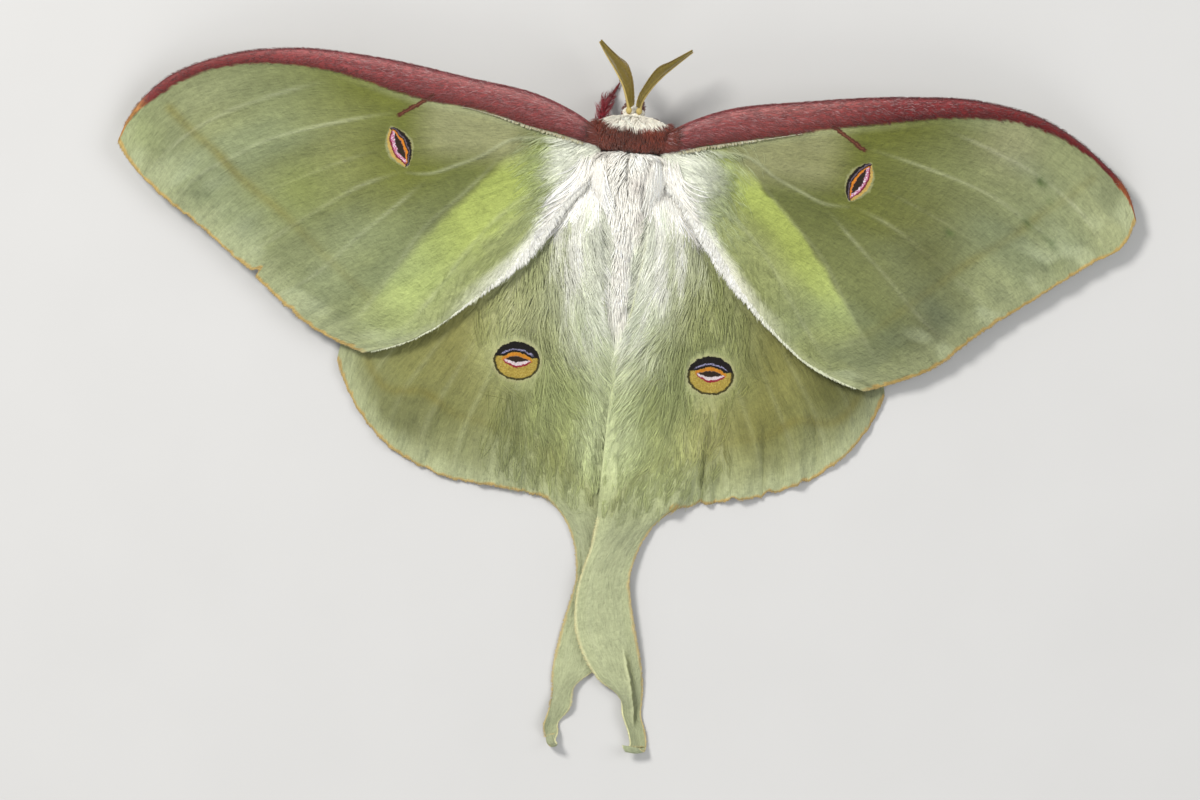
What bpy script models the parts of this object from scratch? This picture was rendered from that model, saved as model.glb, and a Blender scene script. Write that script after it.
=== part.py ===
"""Luna moth at rest with its wings spread flat, life size.

Frame: +X to the moth's right-hand side as seen from above with the head
away from the viewer, +Y towards the head, +Z up.  The floor is z = 0 and the
origin is the middle of the moth's box, at floor level.  Lengths below are in
millimetres on a working origin at the front of the thorax and are turned
into metres, and moved to the box's middle, when the meshes are made.
"""
import math

import bmesh
import bpy
import numpy as np
from mathutils import Vector

# ----------------------------------------------------------------- sizes (mm)
MM = 0.001
GAP = 0.3                   # clear space between neighbouring pieces
SHEET = 0.54                # thickness of a wing's membrane
COSTA = 2.3                 # greatest thickness of the forewing's front edge
SOLE = 0.0                  # level of the floor
MID_X, MID_Y = -0.151, -27.810  # middle of the box, on the working origin

# body: stations along the body (y, height of centre, half width, half height)
HEAD = [(1.75, 4.9, 2.3, 2.0), (0.9, 5.0, 2.65, 2.25), (-0.3, 5.1, 2.7, 2.3), (-1.7, 5.1, 2.2, 1.9)]
COLLAR = [(1.15, 6.7, 3.5, 1.9), (0.5, 6.6, 4.2, 2.3), (-0.8, 6.3, 4.5, 2.9), (-2.2, 6.1, 4.5, 3.3)]
THORAX = [(-2.5, 5.75, 4.4, 3.8), (-4.6, 5.8, 4.55, 4.1), (-6.8, 5.5, 4.3, 3.9), (-8.8, 4.95, 3.7, 3.3)]
ABDOMEN = [(-9.1, 4.7, 3.6, 3.2), (-13.0, 4.15, 3.4, 3.05), (-17.0, 3.7, 2.8, 2.55),
           (-20.3, 3.4, 1.75, 1.7), (-22.4, 3.25, 0.8, 0.8)]
EYE_R = 1.12
EYE_AT = (2.2, 0.2, 4.85)
PALP = [(2.9, 3.75, 0.34, 0.34), (2.2, 3.55, 0.45, 0.5), (1.2, 3.4, 0.5, 0.55)]
PALP_X = 0.62

# forewings: front edge, outer edge and inner edge as guide points (x, y, z)
FORE_R = dict(
    lead=[(3.2, -0.6, 7.4), (9.0, 2.2, 7.5), (17.2, 3.8, 7.1), (27.4, 5.15, 6.3), (35.5, 5.45, 5.3),
          (42.5, 4.1, 4.2), (48.2, 0.8, 3.2), (51.7, -2.6, 2.5), (52.7, -5.2, 2.3)],
    outer=[(52.7, -5.2, 2.3), (50.4, -8.6, 2.1), (44.4, -13.2, 2.0), (38.0, -18.0, 2.0),
           (32.2, -22.7, 1.95), (26.0, -25.1, 1.95)],
    trail=[(3.0, -4.4, 6.9), (6.4, -8.2, 6.9), (9.4, -12.6, 6.3), (14.9, -18.6, 4.9),
           (20.4, -23.0, 3.3), (26.0, -25.1, 1.95)])
FORE_L = dict(
    lead=[(-3.2, -0.6, 7.4), (-9.0, 2.2, 7.5), (-17.2, 3.7, 7.1), (-27.4, 5.2, 6.3), (-35.5, 5.5, 5.3),
          (-43.0, 4.15, 4.2), (-48.8, 1.3, 3.2), (-52.0, -2.6, 2.5), (-53.0, -5.2, 2.3)],
    outer=[(-53.0, -5.2, 2.3), (-49.6, -9.2, 2.1), (-43.4, -13.7, 2.0), (-38.0, -17.9, 2.0),
           (-32.0, -22.6, 1.95), (-26.0, -25.1, 1.95)],
    trail=[(-3.0, -4.4, 6.9), (-6.4, -8.4, 6.9), (-9.2, -13.2, 6.3), (-14.9, -18.7, 4.9),
           (-20.6, -23.1, 3.3), (-26.0, -25.1, 1.95)])
FORE_ARCH = 0.7             # how far the forewing swells upwards in its middle

# hindwings: front edge, outer edge down to where the tail starts, inner edge;
# the right one lies on top of the left one behind the abdomen
HIND_R = dict(
    lead=[(2.6, -3.6, 5.7), (9.0, -7.0, 5.0), (17.0, -12.0, 3.7), (24.0, -18.0, 1.9),
          (27.6, -22.5, 0.8), (28.3, -25.6, 0.36)],
    outer=[(28.3, -25.6, 0.36), (26.9, -29.0, 0.29), (22.2, -34.1, 0.27), (15.6, -37.2, 0.27),
           (11.0, -38.1, 0.27), (7.0, -39.1, 0.45)],
    trail=[(2.8, -5.6, 6.0), (2.5, -9.6, 7.3), (2.0, -14.5, 6.75), (1.3, -19.0, 5.9),
           (0.7, -22.8, 4.95), (-0.05, -27.5, 3.9), (-0.3, -33.0, 2.7), (-0.5, -40.4, 1.5)])
HIND_L = dict(
    lead=[(-2.6, -3.6, 5.7), (-9.0, -7.0, 5.0), (-17.0, -12.0, 3.7), (-24.0, -18.0, 1.9),
          (-27.9, -22.5, 0.8), (-28.7, -25.9, 0.36)],
    outer=[(-28.7, -25.9, 0.36), (-27.4, -29.2, 0.29), (-23.4, -34.1, 0.27), (-17.0, -37.3, 0.27),
           (-11.0, -38.0, 0.27), (-5.8, -38.7, 0.27)],
    trail=[(-2.8, -5.6, 6.0), (-2.5, -9.6, 7.3), (-2.0, -14.5, 6.75), (-1.3, -19.0, 5.9),
           (-0.55, -22.8, 4.8), (0.45, -27.5, 2.85), (0.9, -33.0, 1.4), (1.3, -39.6, 0.27)])
TAIL_FROM = 0.80            # share of the hindwing's far edge where the tail starts

# tails: outer edge, middle and inner edge, from the wing to the curled tip
TAIL_R = dict(
    out=[(6.6, -39.55, 0.45), (4.35, -42.4, 0.8), (3.3, -46.4, 1.15), (4.1, -51.2, 1.15), (5.2, -55.6, 0.75),
         (5.45, -59.6, 0.4), (6.1, -62.4, 0.3), (6.3, -64.1, 0.75)],
    mid=[(3.2, -40.3, 1.1), (1.95, -42.9, 1.2), (0.7, -47.3, 1.2), (1.1, -51.5, 1.2), (3.0, -56.3, 0.5),
         (4.6, -59.7, 0.28), (5.35, -62.5, 0.28), (5.5, -64.3, 1.2)],
    inn=[(-0.5, -40.8, 1.5), (-0.85, -43.4, 1.35), (-1.9, -47.8, 1.2), (-1.85, -51.8, 1.2), (0.9, -56.9, 0.75),
         (3.7, -59.9, 0.9), (4.5, -62.6, 0.8), (4.6, -64.2, 1.5)])
TAIL_L = dict(
    out=[(-5.8, -39.0, 0.27), (-2.95, -42.4, 0.27), (-2.2, -46.4, 0.27), (-3.2, -51.8, 0.27), (-3.9, -56.8, 0.27),
         (-3.8, -59.6, 0.55), (-4.3, -62.2, 0.3), (-3.75, -64.2, 0.75)],
    mid=[(-2.2, -39.6, 0.27), (-0.9, -42.8, 0.27), (-0.05, -47.0, 0.27), (-0.6, -51.9, 0.27), (-1.9, -56.7, 0.27),
         (-2.9, -59.6, 0.28), (-3.75, -62.3, 0.28), (-3.4, -64.4, 1.2)],
    inn=[(1.3, -39.9, 0.27), (1.35, -43.2, 0.27), (2.3, -47.6, 0.27), (2.2, -52.0, 0.27), (0.4, -56.1, 0.27),
         (-1.65, -58.2, 0.6), (-1.9, -60.1, 0.8), (-3.15, -62.3, 0.7), (-2.95, -64.0, 1.6)])

# feelers: line of the shaft, and the half width of the upright leaf-shaped comb
ANT_L = [(-0.5, 1.95, 6.3), (-0.75, 2.9, 6.5), (-1.3, 4.4, 6.75), (-2.2, 5.9, 6.85), (-3.25, 7.4, 6.75),
         (-4.05, 8.65, 6.5)]
ANT_R = [(0.6, 1.95, 6.3), (0.85, 2.9, 6.5), (1.6, 4.2, 6.75), (2.65, 5.5, 6.85), (4.0, 6.8, 6.75),
         (5.65, 8.3, 6.5)]
COMB = [0.28, 0.95, 1.65, 1.75, 1.25, 0.3]
COMB_LEAN = 0.55            # how far the comb's rims stand in from its shaft, as a share of its half width

# legs: line from inside the thorax to the tip of the foot, and radius at each point
LEGS = {
    "leg_fore_left": ([(-1.5, -3.4, 3.6), (-2.1, -1.9, 2.1), (-3.0, -0.2, 2.2), (-3.2, 1.2, 2.7), (-2.95, 2.6, 1.9),
                       (-2.4, 3.5, 0.75), (-2.0, 4.2, 0.22), (-1.6, 5.0, 0.2)],
                      [0.75, 0.62, 0.58, 0.5, 0.46, 0.36, 0.32, 0.27]),
    "leg_fore_right": ([(1.5, -3.4, 3.6), (2.2, -1.9, 2.1), (3.7, -1.0, 2.6), (5.0, -0.6, 2.9), (6.1, 0.0, 1.8),
                        (6.7, 0.5, 0.75), (7.1, 0.9, 0.22), (7.8, 1.6, 0.2)],
                       [0.75, 0.62, 0.58, 0.5, 0.46, 0.36, 0.32, 0.27]),
    "leg_mid_left": ([(-1.6, -4.6, 3.4), (-2.6, -4.5, 1.7), (-4.3, -4.5, 2.3), (-6.1, -4.7, 3.1), (-7.5, -5.5, 1.9),
                      (-8.3, -6.1, 0.75), (-9.0, -6.6, 0.22), (-10.4, -7.5, 0.2)],
                     [0.8, 0.66, 0.62, 0.52, 0.46, 0.36, 0.32, 0.27]),
    "leg_hind_left": ([(-1.6, -6.3, 3.2), (-2.5, -6.9, 1.6), (-4.1, -7.9, 2.2), (-5.5, -9.1, 2.8), (-6.5, -10.9, 1.8),
                       (-7.0, -12.3, 0.75), (-7.4, -13.4, 0.22), (-7.9, -15.3, 0.2)],
                      [0.8, 0.66, 0.62, 0.52, 0.46, 0.36, 0.32, 0.27]),
}
MIRRORED_LEGS = {"leg_mid_right": "leg_mid_left", "leg_hind_right": "leg_hind_left"}

# ------------------------------------------------------------------- colours
COLOURS = {                                      # base colour, roughness
    "wing_green": ((0.42, 0.49, 0.27, 1.0), 0.75),
    "white_fur": ((0.78, 0.75, 0.66, 1.0), 0.90),
    "maroon_fur": ((0.15, 0.045, 0.035, 1.0), 0.85),
    "feeler_tan": ((0.33, 0.22, 0.08, 1.0), 0.70),
    "eye_dark": ((0.015, 0.010, 0.008, 1.0), 0.15),
}


# ------------------------------------------------------------------- helpers
def spline(points, t):
    """Smooth line through the points; t runs 0..1 along its length."""
    p = np.asarray(points, float)
    t = np.atleast_1d(np.asarray(t, float))
    d = np.r_[0.0, np.cumsum(np.linalg.norm(np.diff(p, axis=0), axis=1))]
    d /= d[-1]
    n = len(p)
    slope = np.diff(p, axis=0) / np.diff(d)[:, None]
    m = np.zeros_like(p)
    m[0], m[-1] = slope[0], slope[-1]
    for i in range(1, n - 1):
        before, after = d[i] - d[i - 1], d[i + 1] - d[i]
        m[i] = (slope[i - 1] * after + slope[i] * before) / (before + after)
    if n > 2:
        m[0] = 1.5 * slope[0] - 0.5 * m[1]
        m[-1] = 1.5 * slope[-1] - 0.5 * m[-2]
    i = np.clip(np.searchsorted(d, t, side="right") - 1, 0, n - 2)
    h = (d[i + 1] - d[i])[:, None]
    u = ((t - d[i])[:, None]) / h
    return ((2 * u**3 - 3 * u**2 + 1) * p[i] + (u**3 - 2 * u**2 + u) * h * m[i]
            + (-2 * u**3 + 3 * u**2) * p[i + 1] + (u**3 - u**2) * h * m[i + 1])


def place(points):
    """Millimetres on the working origin to metres in the moth's own frame."""
    return (np.asarray(points, float) - (MID_X, MID_Y, 0.0)) * MM


def collection(name):
    col = bpy.data.collections.new(name)
    bpy.context.scene.collection.children.link(col)
    return col


def material(name):
    if name in bpy.data.materials:
        return bpy.data.materials[name]
    colour, rough = COLOURS[name]
    mat = bpy.data.materials.new(name)
    mat.use_nodes = True
    shader = mat.node_tree.nodes["Principled BSDF"]
    shader.inputs["Base Color"].default_value = colour
    shader.inputs["Roughness"].default_value = rough
    shader.inputs["Metallic"].default_value = 0.0
    mat.diffuse_color = colour
    return mat


def add(name, bm, col, mat=None):
    mesh = bpy.data.meshes.new(name)
    bm.to_mesh(mesh)
    bm.free()
    mesh.shade_smooth()
    obj = bpy.data.objects.new(name, mesh)
    col.objects.link(obj)
    if mat:
        mesh.materials.append(material(mat))
    return obj


def barrel(name, stations, col, mat=None, grow=0.0, front=0.42, back=0.42, x=0.0, sides=20, rings=12):
    """A barrel along Y through the stations, from a sphere; front and back tell how blunt its ends are."""
    st = np.array(stations, float)
    order = np.argsort(st[:, 0])
    st = st[order]
    y0, y1 = st[0, 0] - grow, st[-1, 0] + grow
    bm = bmesh.new()
    bmesh.ops.create_uvsphere(bm, u_segments=sides, v_segments=rings, radius=1.0)
    for v in bm.verts:
        around = math.hypot(v.co.x, v.co.y)
        k = math.acos(max(-1.0, min(1.0, v.co.z))) / math.pi
        y = y1 + (y0 - y1) * (0.5 - 0.5 * math.cos(k * math.pi) * (0.75 + 0.25 * abs(math.cos(k * math.pi))))
        zc, a, b = (np.interp(y, st[:, 0], st[:, j]) for j in (1, 2, 3))
        swell = max(0.0, math.sin(k * math.pi)) ** (front if k < 0.5 else back)
        if around > 1e-9:
            cx, cz = v.co.x / around, v.co.y / around
        else:
            cx = cz = swell = 0.0
        v.co = Vector(place((x + cx * swell * (a + grow), y, zc + cz * swell * (b + grow))))
    bm.normal_update()
    bmesh.ops.recalc_face_normals(bm, faces=bm.faces)
    return add(name, bm, col, mat)


def ball(name, centre, radius, col, mat=None, sides=12, rings=8):
    bm = bmesh.new()
    bmesh.ops.create_uvsphere(bm, u_segments=sides, v_segments=rings, radius=radius * MM)
    bmesh.ops.translate(bm, verts=bm.verts, vec=Vector(place(centre)))
    return add(name, bm, col, mat)


def settle(obj):
    """Apply the object's modifiers, and press what is lowest flat on the floor."""
    bpy.context.view_layer.update()
    mesh = bpy.data.meshes.new_from_object(obj.evaluated_get(bpy.context.evaluated_depsgraph_get()))
    obj.modifiers.clear()
    old, obj.data = obj.data, mesh
    bpy.data.meshes.remove(old)
    bm = bmesh.new()
    bm.from_mesh(mesh)
    bmesh.ops.remove_doubles(bm, verts=bm.verts, dist=0.00002)
    for v in bm.verts:
        v.co.z = max(v.co.z, SOLE * MM)
    bm.normal_update()
    bmesh.ops.recalc_face_normals(bm, faces=bm.faces)
    bm.to_mesh(mesh)
    bm.free()
    mesh.name = obj.name
    mesh.shade_smooth()
    return obj


def cut(obj, *cutters):
    for cutter in cutters:
        mod = obj.modifiers.new("clear_of_" + cutter.name, "BOOLEAN")
        mod.operation = "DIFFERENCE"
        mod.solver = "EXACT"
        mod.object = cutter
    return obj


def sheet(name, surface, across, along, thick, col, mat):
    """A grid laid on surface(s, t) and given its thickness by Solidify."""
    bm = bmesh.new()
    bmesh.ops.create_grid(bm, x_segments=len(along) - 1, y_segments=len(across) - 1, size=0.5)
    weights = []
    for v in bm.verts:
        t = float(np.interp(v.co.x + 0.5, np.linspace(0, 1, len(along)), along))
        s = float(np.interp(v.co.y + 0.5, np.linspace(0, 1, len(across)), across))
        v.co = Vector(place(surface(s, t)))
        weights.append(thick(s, t))
    top = max(weights)
    obj = add(name, bm, col, mat)
    group = obj.vertex_groups.new(name="thickness")
    for i, w in enumerate(weights):
        group.add([i], w / top, "REPLACE")
    mod = obj.modifiers.new("membrane", "SOLIDIFY")
    mod.thickness = top * MM
    mod.offset = 0.0
    mod.vertex_group = "thickness"
    mod.thickness_vertex_group = 0.0
    return obj


def patch(wing, s, t):
    """Point of the skin stretched between a wing's edges: s front to back, t base to tip."""
    lead, outer, trail = wing["lead"], wing["outer"], wing["trail"]
    base = [lead[0], trail[0]]
    c00, c01, c10, c11 = (np.array(p, float) for p in (lead[0], lead[-1], trail[0], trail[-1]))
    return ((1 - s) * spline(lead, t)[0] + s * spline(trail, t)[0]
            + (1 - t) * spline(base, s)[0] + t * spline(outer, s)[0]
            - ((1 - s) * (1 - t) * c00 + (1 - s) * t * c01 + s * (1 - t) * c10 + s * t * c11))


def forewing(wing):
    def surface(s, t):
        p = patch(wing, s, t)
        p[2] += FORE_ARCH * math.sin(math.pi * s) * math.sin(math.pi * t) ** 0.8
        return p

    def thick(s, t):
        rod = COSTA * (1.0 - 0.62 * min(1.0, t / 0.75)) * max(0.0, 1.0 - 0.9 * max(0.0, t - 0.75) / 0.25)
        width = 0.125 - 0.075 * t
        swell = max(0.0, math.sin(math.pi * min(1.0, (s + 0.012) / (width + 0.012)))) ** 0.6
        return SHEET + max(0.0, rod - SHEET) * swell
    return surface, thick


def hindwing(wing):
    far = wing["outer"] + [tuple(0.5 * (np.array(wing["outer"][-1]) + np.array(wing["trail"][-1]))), wing["trail"][-1]]
    whole = dict(wing, outer=far)

    def outer_at(s):
        if s <= TAIL_FROM:
            return spline(wing["outer"], s / TAIL_FROM)[0]
        return spline(far[-3:], (s - TAIL_FROM) / (1 - TAIL_FROM))[0]

    def surface(s, t):
        lead, trail = whole["lead"], whole["trail"]
        c00, c01, c10, c11 = (np.array(p, float) for p in (lead[0], lead[-1], trail[0], trail[-1]))
        return ((1 - s) * spline(lead, t)[0] + s * spline(trail, t)[0]
                + (1 - t) * spline([lead[0], trail[0]], s)[0] + t * outer_at(s)
                - ((1 - s) * (1 - t) * c00 + (1 - s) * t * c01 + s * (1 - t) * c10 + s * t * c11))
    return surface, lambda s, t: SHEET


def tail(edges):
    def surface(s, t):
        a, b, c = (spline(edges[k], t)[0] for k in ("out", "mid", "inn"))
        return (1 - s) * (1 - 2 * s) * a + 4 * s * (1 - s) * b + s * (2 * s - 1) * c
    return surface, lambda s, t: SHEET


def feeler(name, line, inward, col):
    """Upright leaf with a folded section: the shaft outside, both rims leaning in."""
    keys = np.linspace(0, 1, len(COMB))

    def surface(s, t):
        p = spline(line, t)[0]
        ahead = spline(line, min(1.0, t + 0.02))[0] - spline(line, max(0.0, t - 0.02))[0]
        side = np.array((ahead[1], -ahead[0], 0.0))
        side *= inward / np.linalg.norm(side)
        half = float(np.interp(t, keys, COMB))
        k = 2 * s - 1
        return p + np.array((0, 0, 1.0)) * half * k + side * half * COMB_LEAN * k * k
    return sheet(name, surface, np.linspace(0, 1, 5), np.linspace(0, 1, 12), lambda s, t: 0.52, col, "feeler_tan")


def leg(name, line, radii, col, mat="maroon_fur", steps=13):
    """Tapered tube with a rounded run, pressed flat where the foot stands."""
    ts = np.linspace(0, 1, steps)
    pts = place(spline(line, ts))
    keys = np.r_[0.0, np.cumsum(np.linalg.norm(np.diff(np.array(line), axis=0), axis=1))]
    rad = np.interp(ts, keys / keys[-1], radii)
    curve = bpy.data.curves.new(name + "_line", "CURVE")
    curve.dimensions = "3D"
    curve.bevel_depth = MM
    curve.bevel_resolution = 2
    curve.use_fill_caps = True
    run = curve.splines.new("POLY")
    run.points.add(steps - 1)
    for point, at, r in zip(run.points, pts, rad):
        point.co = (*at, 1.0)
        point.radius = r
    guide = bpy.data.objects.new(name + "_line", curve)
    col.objects.link(guide)
    bpy.context.view_layer.update()
    mesh = bpy.data.meshes.new_from_object(guide.evaluated_get(bpy.context.evaluated_depsgraph_get()))
    bm = bmesh.new()
    bm.from_mesh(mesh)
    bmesh.ops.remove_doubles(bm, verts=bm.verts, dist=0.000005)
    bm.normal_update()
    bmesh.ops.recalc_face_normals(bm, faces=bm.faces)
    bpy.data.meshes.remove(mesh)
    bpy.data.objects.remove(guide)
    return add(name, bm, col, mat)


# --------------------------------------------------------------------- model
def main():
    for obj in list(bpy.data.objects):
        bpy.data.objects.remove(obj)

    moth = collection("luna_moth")
    tools = collection("cutters")

    shapes = {"head": (HEAD, dict(front=0.6, back=0.6, rings=10), "white_fur"),
              "collar": (COLLAR, dict(front=0.42, back=0.08, rings=10), "maroon_fur"),
              "thorax": (THORAX, dict(front=0.08, back=0.22), "white_fur"),
              "abdomen": (ABDOMEN, dict(front=0.12, back=0.5, sides=18), "white_fur")}
    body, clear = {}, {}
    for name, (stations, ends, mat) in shapes.items():
        body[name] = barrel(name, stations, moth, mat, **ends)
        clear[name] = barrel("clear_" + name, stations, tools, grow=GAP, **ends)
    head, collar = body["head"], body["collar"]
    clear_head, clear_collar = clear["head"], clear["collar"]
    clear_thorax, clear_abdomen = clear["thorax"], clear["abdomen"]
    clear_eyes = []
    for side, sign in (("left", -1), ("right", 1)):
        at = (sign * EYE_AT[0], EYE_AT[1], EYE_AT[2])
        ball("eye_" + side, at, EYE_R, moth, "eye_dark")
        clear_eyes.append(ball("clear_eye_" + side, at, EYE_R + GAP, tools))
    cut(head, *clear_eyes)
    cut(collar, clear_head, *clear_eyes)
    settle(head)
    settle(collar)

    for side, sign in (("left", -1), ("right", 1)):
        palp = barrel("palp_" + side, PALP, moth, "maroon_fur", x=sign * PALP_X, sides=8, rings=6)
        settle(cut(palp, clear_head))

    costa_rows = [0, .02, .05, .08, .11, .15, .24, .37, .5, .63, .76, .89, 1]
    reach = np.linspace(0, 1, 22)
    for side, wing in (("left", FORE_L), ("right", FORE_R)):
        surface, thick = forewing(wing)
        obj = sheet("forewing_" + side, surface, costa_rows, reach, thick, moth, "wing_green")
        settle(cut(obj, clear_collar, clear_thorax))

    rows = list(np.linspace(0, TAIL_FROM, 9)) + list(np.linspace(TAIL_FROM, 1, 5))[1:]
    for side, wing in (("left", HIND_L), ("right", HIND_R)):
        surface, thick = hindwing(wing)
        obj = sheet("hindwing_" + side, surface, rows, np.linspace(0, 1, 17), thick, moth, "wing_green")
        settle(cut(obj, clear_thorax, clear_abdomen))

    for side, edges in (("left", TAIL_L), ("right", TAIL_R)):
        surface, thick = tail(edges)
        settle(sheet("tail_" + side, surface, np.linspace(0, 1, 5), np.linspace(0, 1, 21), thick, moth, "wing_green"))

    settle(feeler("antenna_left", ANT_L, 1.0, moth))
    settle(feeler("antenna_right", ANT_R, -1.0, moth))
    for side in ("left", "right"):
        settle(cut(bpy.data.objects["antenna_" + side], clear_head, clear_collar))

    legs = dict(LEGS)
    for name, twin in MIRRORED_LEGS.items():
        line, radii = LEGS[twin]
        legs[name] = ([(-x, y, z) for x, y, z in line], radii)
    for name, (line, radii) in legs.items():
        settle(cut(leg(name, line, radii, moth), clear_thorax))

    for obj in tools.objects:
        obj.hide_render = True
        obj.display_type = "WIRE"


main()
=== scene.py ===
import math

import bpy
import numpy as np
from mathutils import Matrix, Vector


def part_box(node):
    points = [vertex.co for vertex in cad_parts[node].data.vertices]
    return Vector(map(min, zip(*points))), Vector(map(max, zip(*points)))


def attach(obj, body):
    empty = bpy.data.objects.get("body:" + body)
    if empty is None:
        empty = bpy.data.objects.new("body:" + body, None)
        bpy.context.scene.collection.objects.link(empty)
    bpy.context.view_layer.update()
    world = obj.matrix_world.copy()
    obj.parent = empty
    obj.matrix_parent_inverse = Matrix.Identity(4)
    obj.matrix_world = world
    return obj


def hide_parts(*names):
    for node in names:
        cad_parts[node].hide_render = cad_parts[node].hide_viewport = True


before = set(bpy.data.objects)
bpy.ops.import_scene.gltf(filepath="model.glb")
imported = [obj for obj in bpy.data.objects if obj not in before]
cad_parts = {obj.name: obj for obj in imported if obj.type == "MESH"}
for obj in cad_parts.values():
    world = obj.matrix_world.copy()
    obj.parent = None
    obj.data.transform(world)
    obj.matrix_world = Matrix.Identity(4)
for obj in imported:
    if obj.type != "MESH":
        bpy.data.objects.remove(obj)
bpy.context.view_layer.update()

# The look of the luna moth.  Shapes are laid out in millimetres on a working origin at the front of
# the thorax (x to the moth's right, y towards the head, z up) and moved onto the CAD with SHIFT.
MM = 0.001
lo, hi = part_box("thorax")
SHIFT = np.array([(lo.x + hi.x) / 2, hi.y + 2.5 * MM, 0.0])


def place(p):
    return np.asarray(p, float) * MM + SHIFT


# ------------------------------------------------------------------ small maths
def smooth(x, a, b):
    u = np.clip((np.asarray(x, float) - a) / (b - a), 0, 1)
    return u * u * (3 - 2 * u)


def mix(a, b, f):
    a, b, f = np.asarray(a, float), np.asarray(b, float), np.asarray(f, float)
    if f.ndim and (a.shape[-1:] == (3,) or b.shape[-1:] == (3,)):
        f = f[..., None]
    return a * (1 - f) + b * f


def rgb(r, g, b):
    c = np.array((r, g, b), float) / 255
    return np.where(c <= 0.04045, c / 12.92, ((c + 0.055) / 1.055) ** 2.4)


def unit(v):
    return v / np.maximum(np.linalg.norm(v, axis=-1, keepdims=True), 1e-12)


def lattice(i, j, seed):
    h = (i.astype(np.int64) * 374761393 + j.astype(np.int64) * 668265263 + seed * 974634777) & 0xFFFFFFFF
    h = ((h ^ (h >> 13)) * 1274126177) & 0xFFFFFFFF
    h = ((h ^ (h >> 16)) * 2246822519) & 0xFFFFFFFF
    return (h ^ (h >> 15)) / 4294967295.0


def noise(x, y, seed=0):
    """Smooth random hills over a unit lattice, from -1 to 1."""
    x, y = np.broadcast_arrays(np.asarray(x, float), np.asarray(y, float))
    i, j = np.floor(x), np.floor(y)
    u, v = x - i, y - j
    u, v = u * u * (3 - 2 * u), v * v * (3 - 2 * v)
    a, b = lattice(i, j, seed), lattice(i + 1, j, seed)
    c, d = lattice(i, j + 1, seed), lattice(i + 1, j + 1, seed)
    return 2 * ((a * (1 - u) + b * u) * (1 - v) + (c * (1 - u) + d * u) * v) - 1


def fractal(x, y, seed=0, octaves=3):
    total, size, norm = 0.0, 1.0, 0.0
    for k in range(octaves):
        total = total + size * noise(x * 2**k, y * 2**k, seed + 17 * k)
        norm += size
        size *= 0.5
    return total / norm


def spline(points, t):
    """Smooth line through the points; t runs 0..1 along its length."""
    p = np.asarray(points, float)
    t = np.asarray(t, float)
    d = np.r_[0.0, np.cumsum(np.linalg.norm(np.diff(p, axis=0), axis=1))]
    d /= d[-1]
    n = len(p)
    slope = np.diff(p, axis=0) / np.diff(d)[:, None]
    m = np.zeros_like(p)
    m[0], m[-1] = slope[0], slope[-1]
    for i in range(1, n - 1):
        before, after = d[i] - d[i - 1], d[i + 1] - d[i]
        m[i] = (slope[i - 1] * after + slope[i] * before) / (before + after)
    if n > 2:
        m[0] = 1.5 * slope[0] - 0.5 * m[1]
        m[-1] = 1.5 * slope[-1] - 0.5 * m[-2]
    i = np.clip(np.searchsorted(d, t, side="right") - 1, 0, n - 2)
    h = (d[i + 1] - d[i])[..., None]
    u = (t - d[i])[..., None] / h
    return ((2 * u**3 - 3 * u**2 + 1) * p[i] + (u**3 - 2 * u**2 + u) * h * m[i]
            + (-2 * u**3 + 3 * u**2) * p[i + 1] + (u**3 - u**2) * h * m[i + 1])


def to_line(x, y, line, steps=40):
    """Distance in plan from each point to a smooth line, and how far along it (0..1) the nearest point is."""
    q = spline(np.array([(a, b) for a, b in line], float), np.linspace(0, 1, steps)) if len(line) > 2 \
        else np.linspace(line[0], line[1], steps)
    best = np.full(np.shape(x), 1e9)
    where = np.zeros(np.shape(x))
    for k in range(steps - 1):
        a, b = q[k], q[k + 1]
        d = b - a
        w = np.clip(((x - a[0]) * d[0] + (y - a[1]) * d[1]) / max(d @ d, 1e-12), 0, 1)
        r = np.hypot(x - a[0] - w * d[0], y - a[1] - w * d[1])
        near = r < best
        best = np.where(near, r, best)
        where = np.where(near, (k + w) / (steps - 1), where)
    return best, where


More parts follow.
